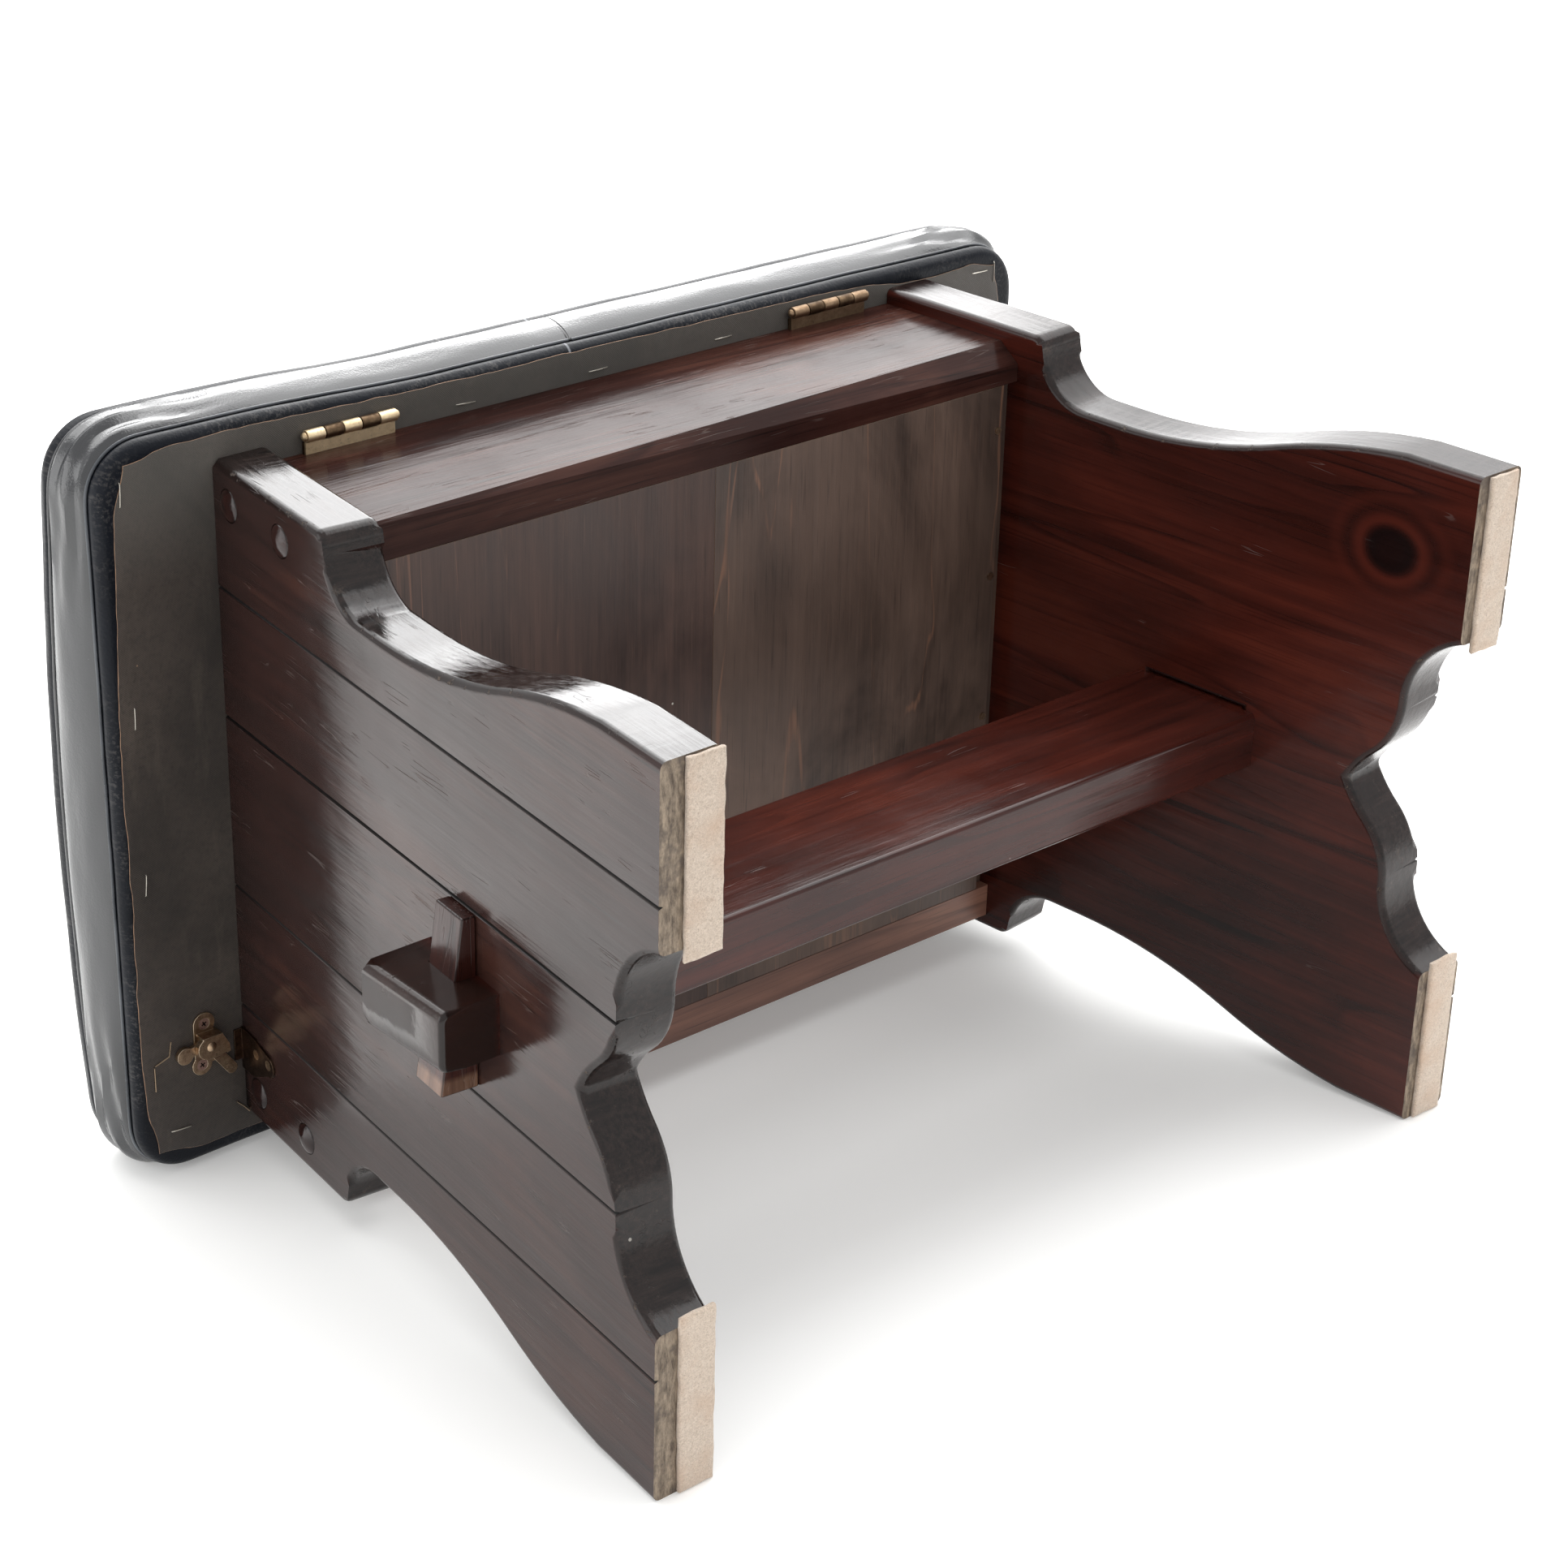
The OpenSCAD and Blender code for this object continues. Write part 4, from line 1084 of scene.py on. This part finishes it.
def plugs():
    plug_wood = wood("wood_plugs", "X", SPLAY, deep=rgb(0.006, 0.003, 0.003), warm=rgb(0.026, 0.008, 0.006),
                     pale=rgb(0.05, 0.016, 0.01), gloss=0.12, seed=6, scuffed=0.1)
    eased_node("screw_plugs_domed", "screw_plugs", plug_wood, 0.8 * MM, 3, limit=40)


# ---- studio ----

FLOOR_UP = Vector((0, 1, 0.058)).normalized()
FLOOR_AT = Vector((0, -BOARD_HALF_W, FELT_TOP))
FLOOR_SIZE = 14
FLOOR_TONE = rgb(0.9, 0.9, 0.89)


def stage_floor(name, at, up, lit_by_all):
    """A floor that is seen from above only, so it never hides the bench from below."""
    bpy.ops.mesh.primitive_plane_add(size=FLOOR_SIZE)
    floor = bpy.context.object
    floor.name = name
    floor.location = at
    floor.rotation_mode = "QUATERNION"
    floor.rotation_quaternion = up.to_track_quat("Z", "Y")
    s = Shader(name)
    tone = s.mix(FLOOR_TONE, shade(FLOOR_TONE, 0.97), s.noise(s.point, 1.5))
    diffuse = s.add("BsdfDiffuse", {"Color": tone})
    glow = s.add("Emission", {"Color": tone, "Strength": 0.22})
    lit = s.add("AddShader", {0: diffuse.outputs[0], 1: glow.outputs[0]})
    clear = s.add("BsdfTransparent")
    back = s.add("NewGeometry").outputs["Backfacing"]
    mixed = s.add("MixShader", {0: back, 1: lit.outputs[0], 2: clear.outputs[0]})
    s.add("OutputMaterial", {0: mixed.outputs[0]})
    floor.data.materials.append(s.material)
    if not lit_by_all:
        floor.visible_diffuse = floor.visible_glossy = False
        floor.visible_shadow = floor.visible_transmission = False


def area_light(name, at, target, size, power):
    """A soft rectangular light, unseen by the camera, that points at target."""
    data = bpy.data.lights.new(name, "AREA")
    data.shape = "RECTANGLE"
    data.size, data.size_y = size
    data.energy = power
    lamp = bpy.data.objects.new(name, data)
    bpy.context.scene.collection.objects.link(lamp)
    lamp.visible_camera = False
    lamp.location = at
    lamp.rotation_mode = "QUATERNION"
    lamp.rotation_quaternion = (target - at).to_track_quat("-Z", "Y")


CAMERA_AT = Vector((0.9719, 0.7331, -0.882))
CAMERA_WAY = Vector((-0.5908, -0.44635, 0.67211))
CAMERA_UP = Vector((-0.27425, 0.89453, 0.353))
SENSOR = 36
LENS = 77.82
# where the camera's view goes after it is mirrored by the back rail, by the boards' concave
# shoulders and by their flared edges
BEYOND = Vector((-0.59, 0.446, 0.672))
OVERHEAD = Vector((-0.6, 0.79, 0.08))
BACKDROP = Vector((-0.59, 0.06, 0.8))
MIDDLE = Vector((0, 0, 0.2))


def camera():
    data = bpy.data.cameras.new("camera")
    data.sensor_width = SENSOR
    data.lens = LENS
    data.clip_start, data.clip_end = 0.05, 100
    eye = bpy.data.objects.new("camera", data)
    bpy.context.scene.collection.objects.link(eye)
    back = -CAMERA_WAY.normalized()
    side = CAMERA_UP.cross(back).normalized()
    up = back.cross(side)
    eye.matrix_world = Matrix.Translation(CAMERA_AT) @ Matrix((side, up, back)).transposed().to_4x4()
    bpy.context.scene.camera = eye


def studio():
    stage_floor("floor", FLOOR_AT, FLOOR_UP, True)
    stage_floor("floor_standing", Vector((0, 0, -0.2 * MM)), UP, False)
    ahead = (CAMERA_WAY - FLOOR_UP * CAMERA_WAY.dot(FLOOR_UP)).normalized()
    right = ahead.cross(FLOOR_UP).normalized()
    far = MIDDLE + BACKDROP * 2
    area_light("key", MIDDLE + FLOOR_UP * 1.7 + ahead * 0.7 - right * 0.7, MIDDLE, (1.8, 1.8), 26)
    area_light("beyond", MIDDLE + BEYOND * 2.3, MIDDLE, (2.6, 1.5), 18)
    area_light("backdrop", MIDDLE + BACKDROP * 2.6, MIDDLE, (3.2, 1.1), 42)
    area_light("far_floor", far + FLOOR_UP * 1.3, far - FLOOR_UP * 0.4, (2.6, 1.2), 24)
    area_light("overhead", MIDDLE + OVERHEAD * 2.2, MIDDLE, (1.8, 1.8), 26)
    area_light("fill", MIDDLE - right * 2 + FLOOR_UP * 0.5 - ahead * 0.8, MIDDLE, (1.6, 1.6), 14)
    world = bpy.context.scene.world = bpy.data.worlds.new("studio")
    world.use_nodes = True
    background = world.node_tree.nodes["Background"]
    background.inputs[0].default_value = rgb(1, 1, 1)
    background.inputs[1].default_value = 1
    view = bpy.context.scene.view_settings
    view.view_transform = "Standard"
    view.look = "None"


camera()
studio()
end_boards()
box()
stretcher()
plugs()
band_vinyl = vinyl("vinyl_boxing", rgb(0.003, 0.0038, 0.006), rgb(0.0075, 0.0088, 0.012), 0.12, 1)
roll_vinyl = vinyl("vinyl_rolls", rgb(0.0028, 0.0038, 0.0066), rgb(0.0065, 0.0082, 0.0125), 0.33, 0.14)
# The lower piping gets a lighter grey vinyl than the rest: a painted highlight along the crease.
cord_vinyl_painted_highlight = vinyl("vinyl_piping_painted_highlight", rgb(0.03, 0.034, 0.04), rgb(0.1, 0.108, 0.12), 0.25, 0.4)
seat_cushion(band_vinyl, roll_vinyl)
piping("lower_piping", "lower_welt", 0.2, LOWER_CREASE + 0.3, 0.85, cord_vinyl_painted_highlight)
piping("upper_piping", "upper_welt", 1.5, UPPER_CREASE, 1, band_vinyl)
lid_plywood = plywood("plywood_lid", rgb(0.1, 0.07, 0.05), rgb(0.3, 0.21, 0.13), 0.3, 9)
eased_node("lid_board_ply", "lid_board", lid_plywood, 0.5 * MM, 1, "lid", "plywood", cut=tuck_in)
dust_cover(dust_cloth("cloth_dust"))
wool = felt("felt_wool")
for strip in ("felt_back_right", "felt_front_right", "felt_back_left", "felt_front_left"):
    felt_strip(strip, wool)
hardware()
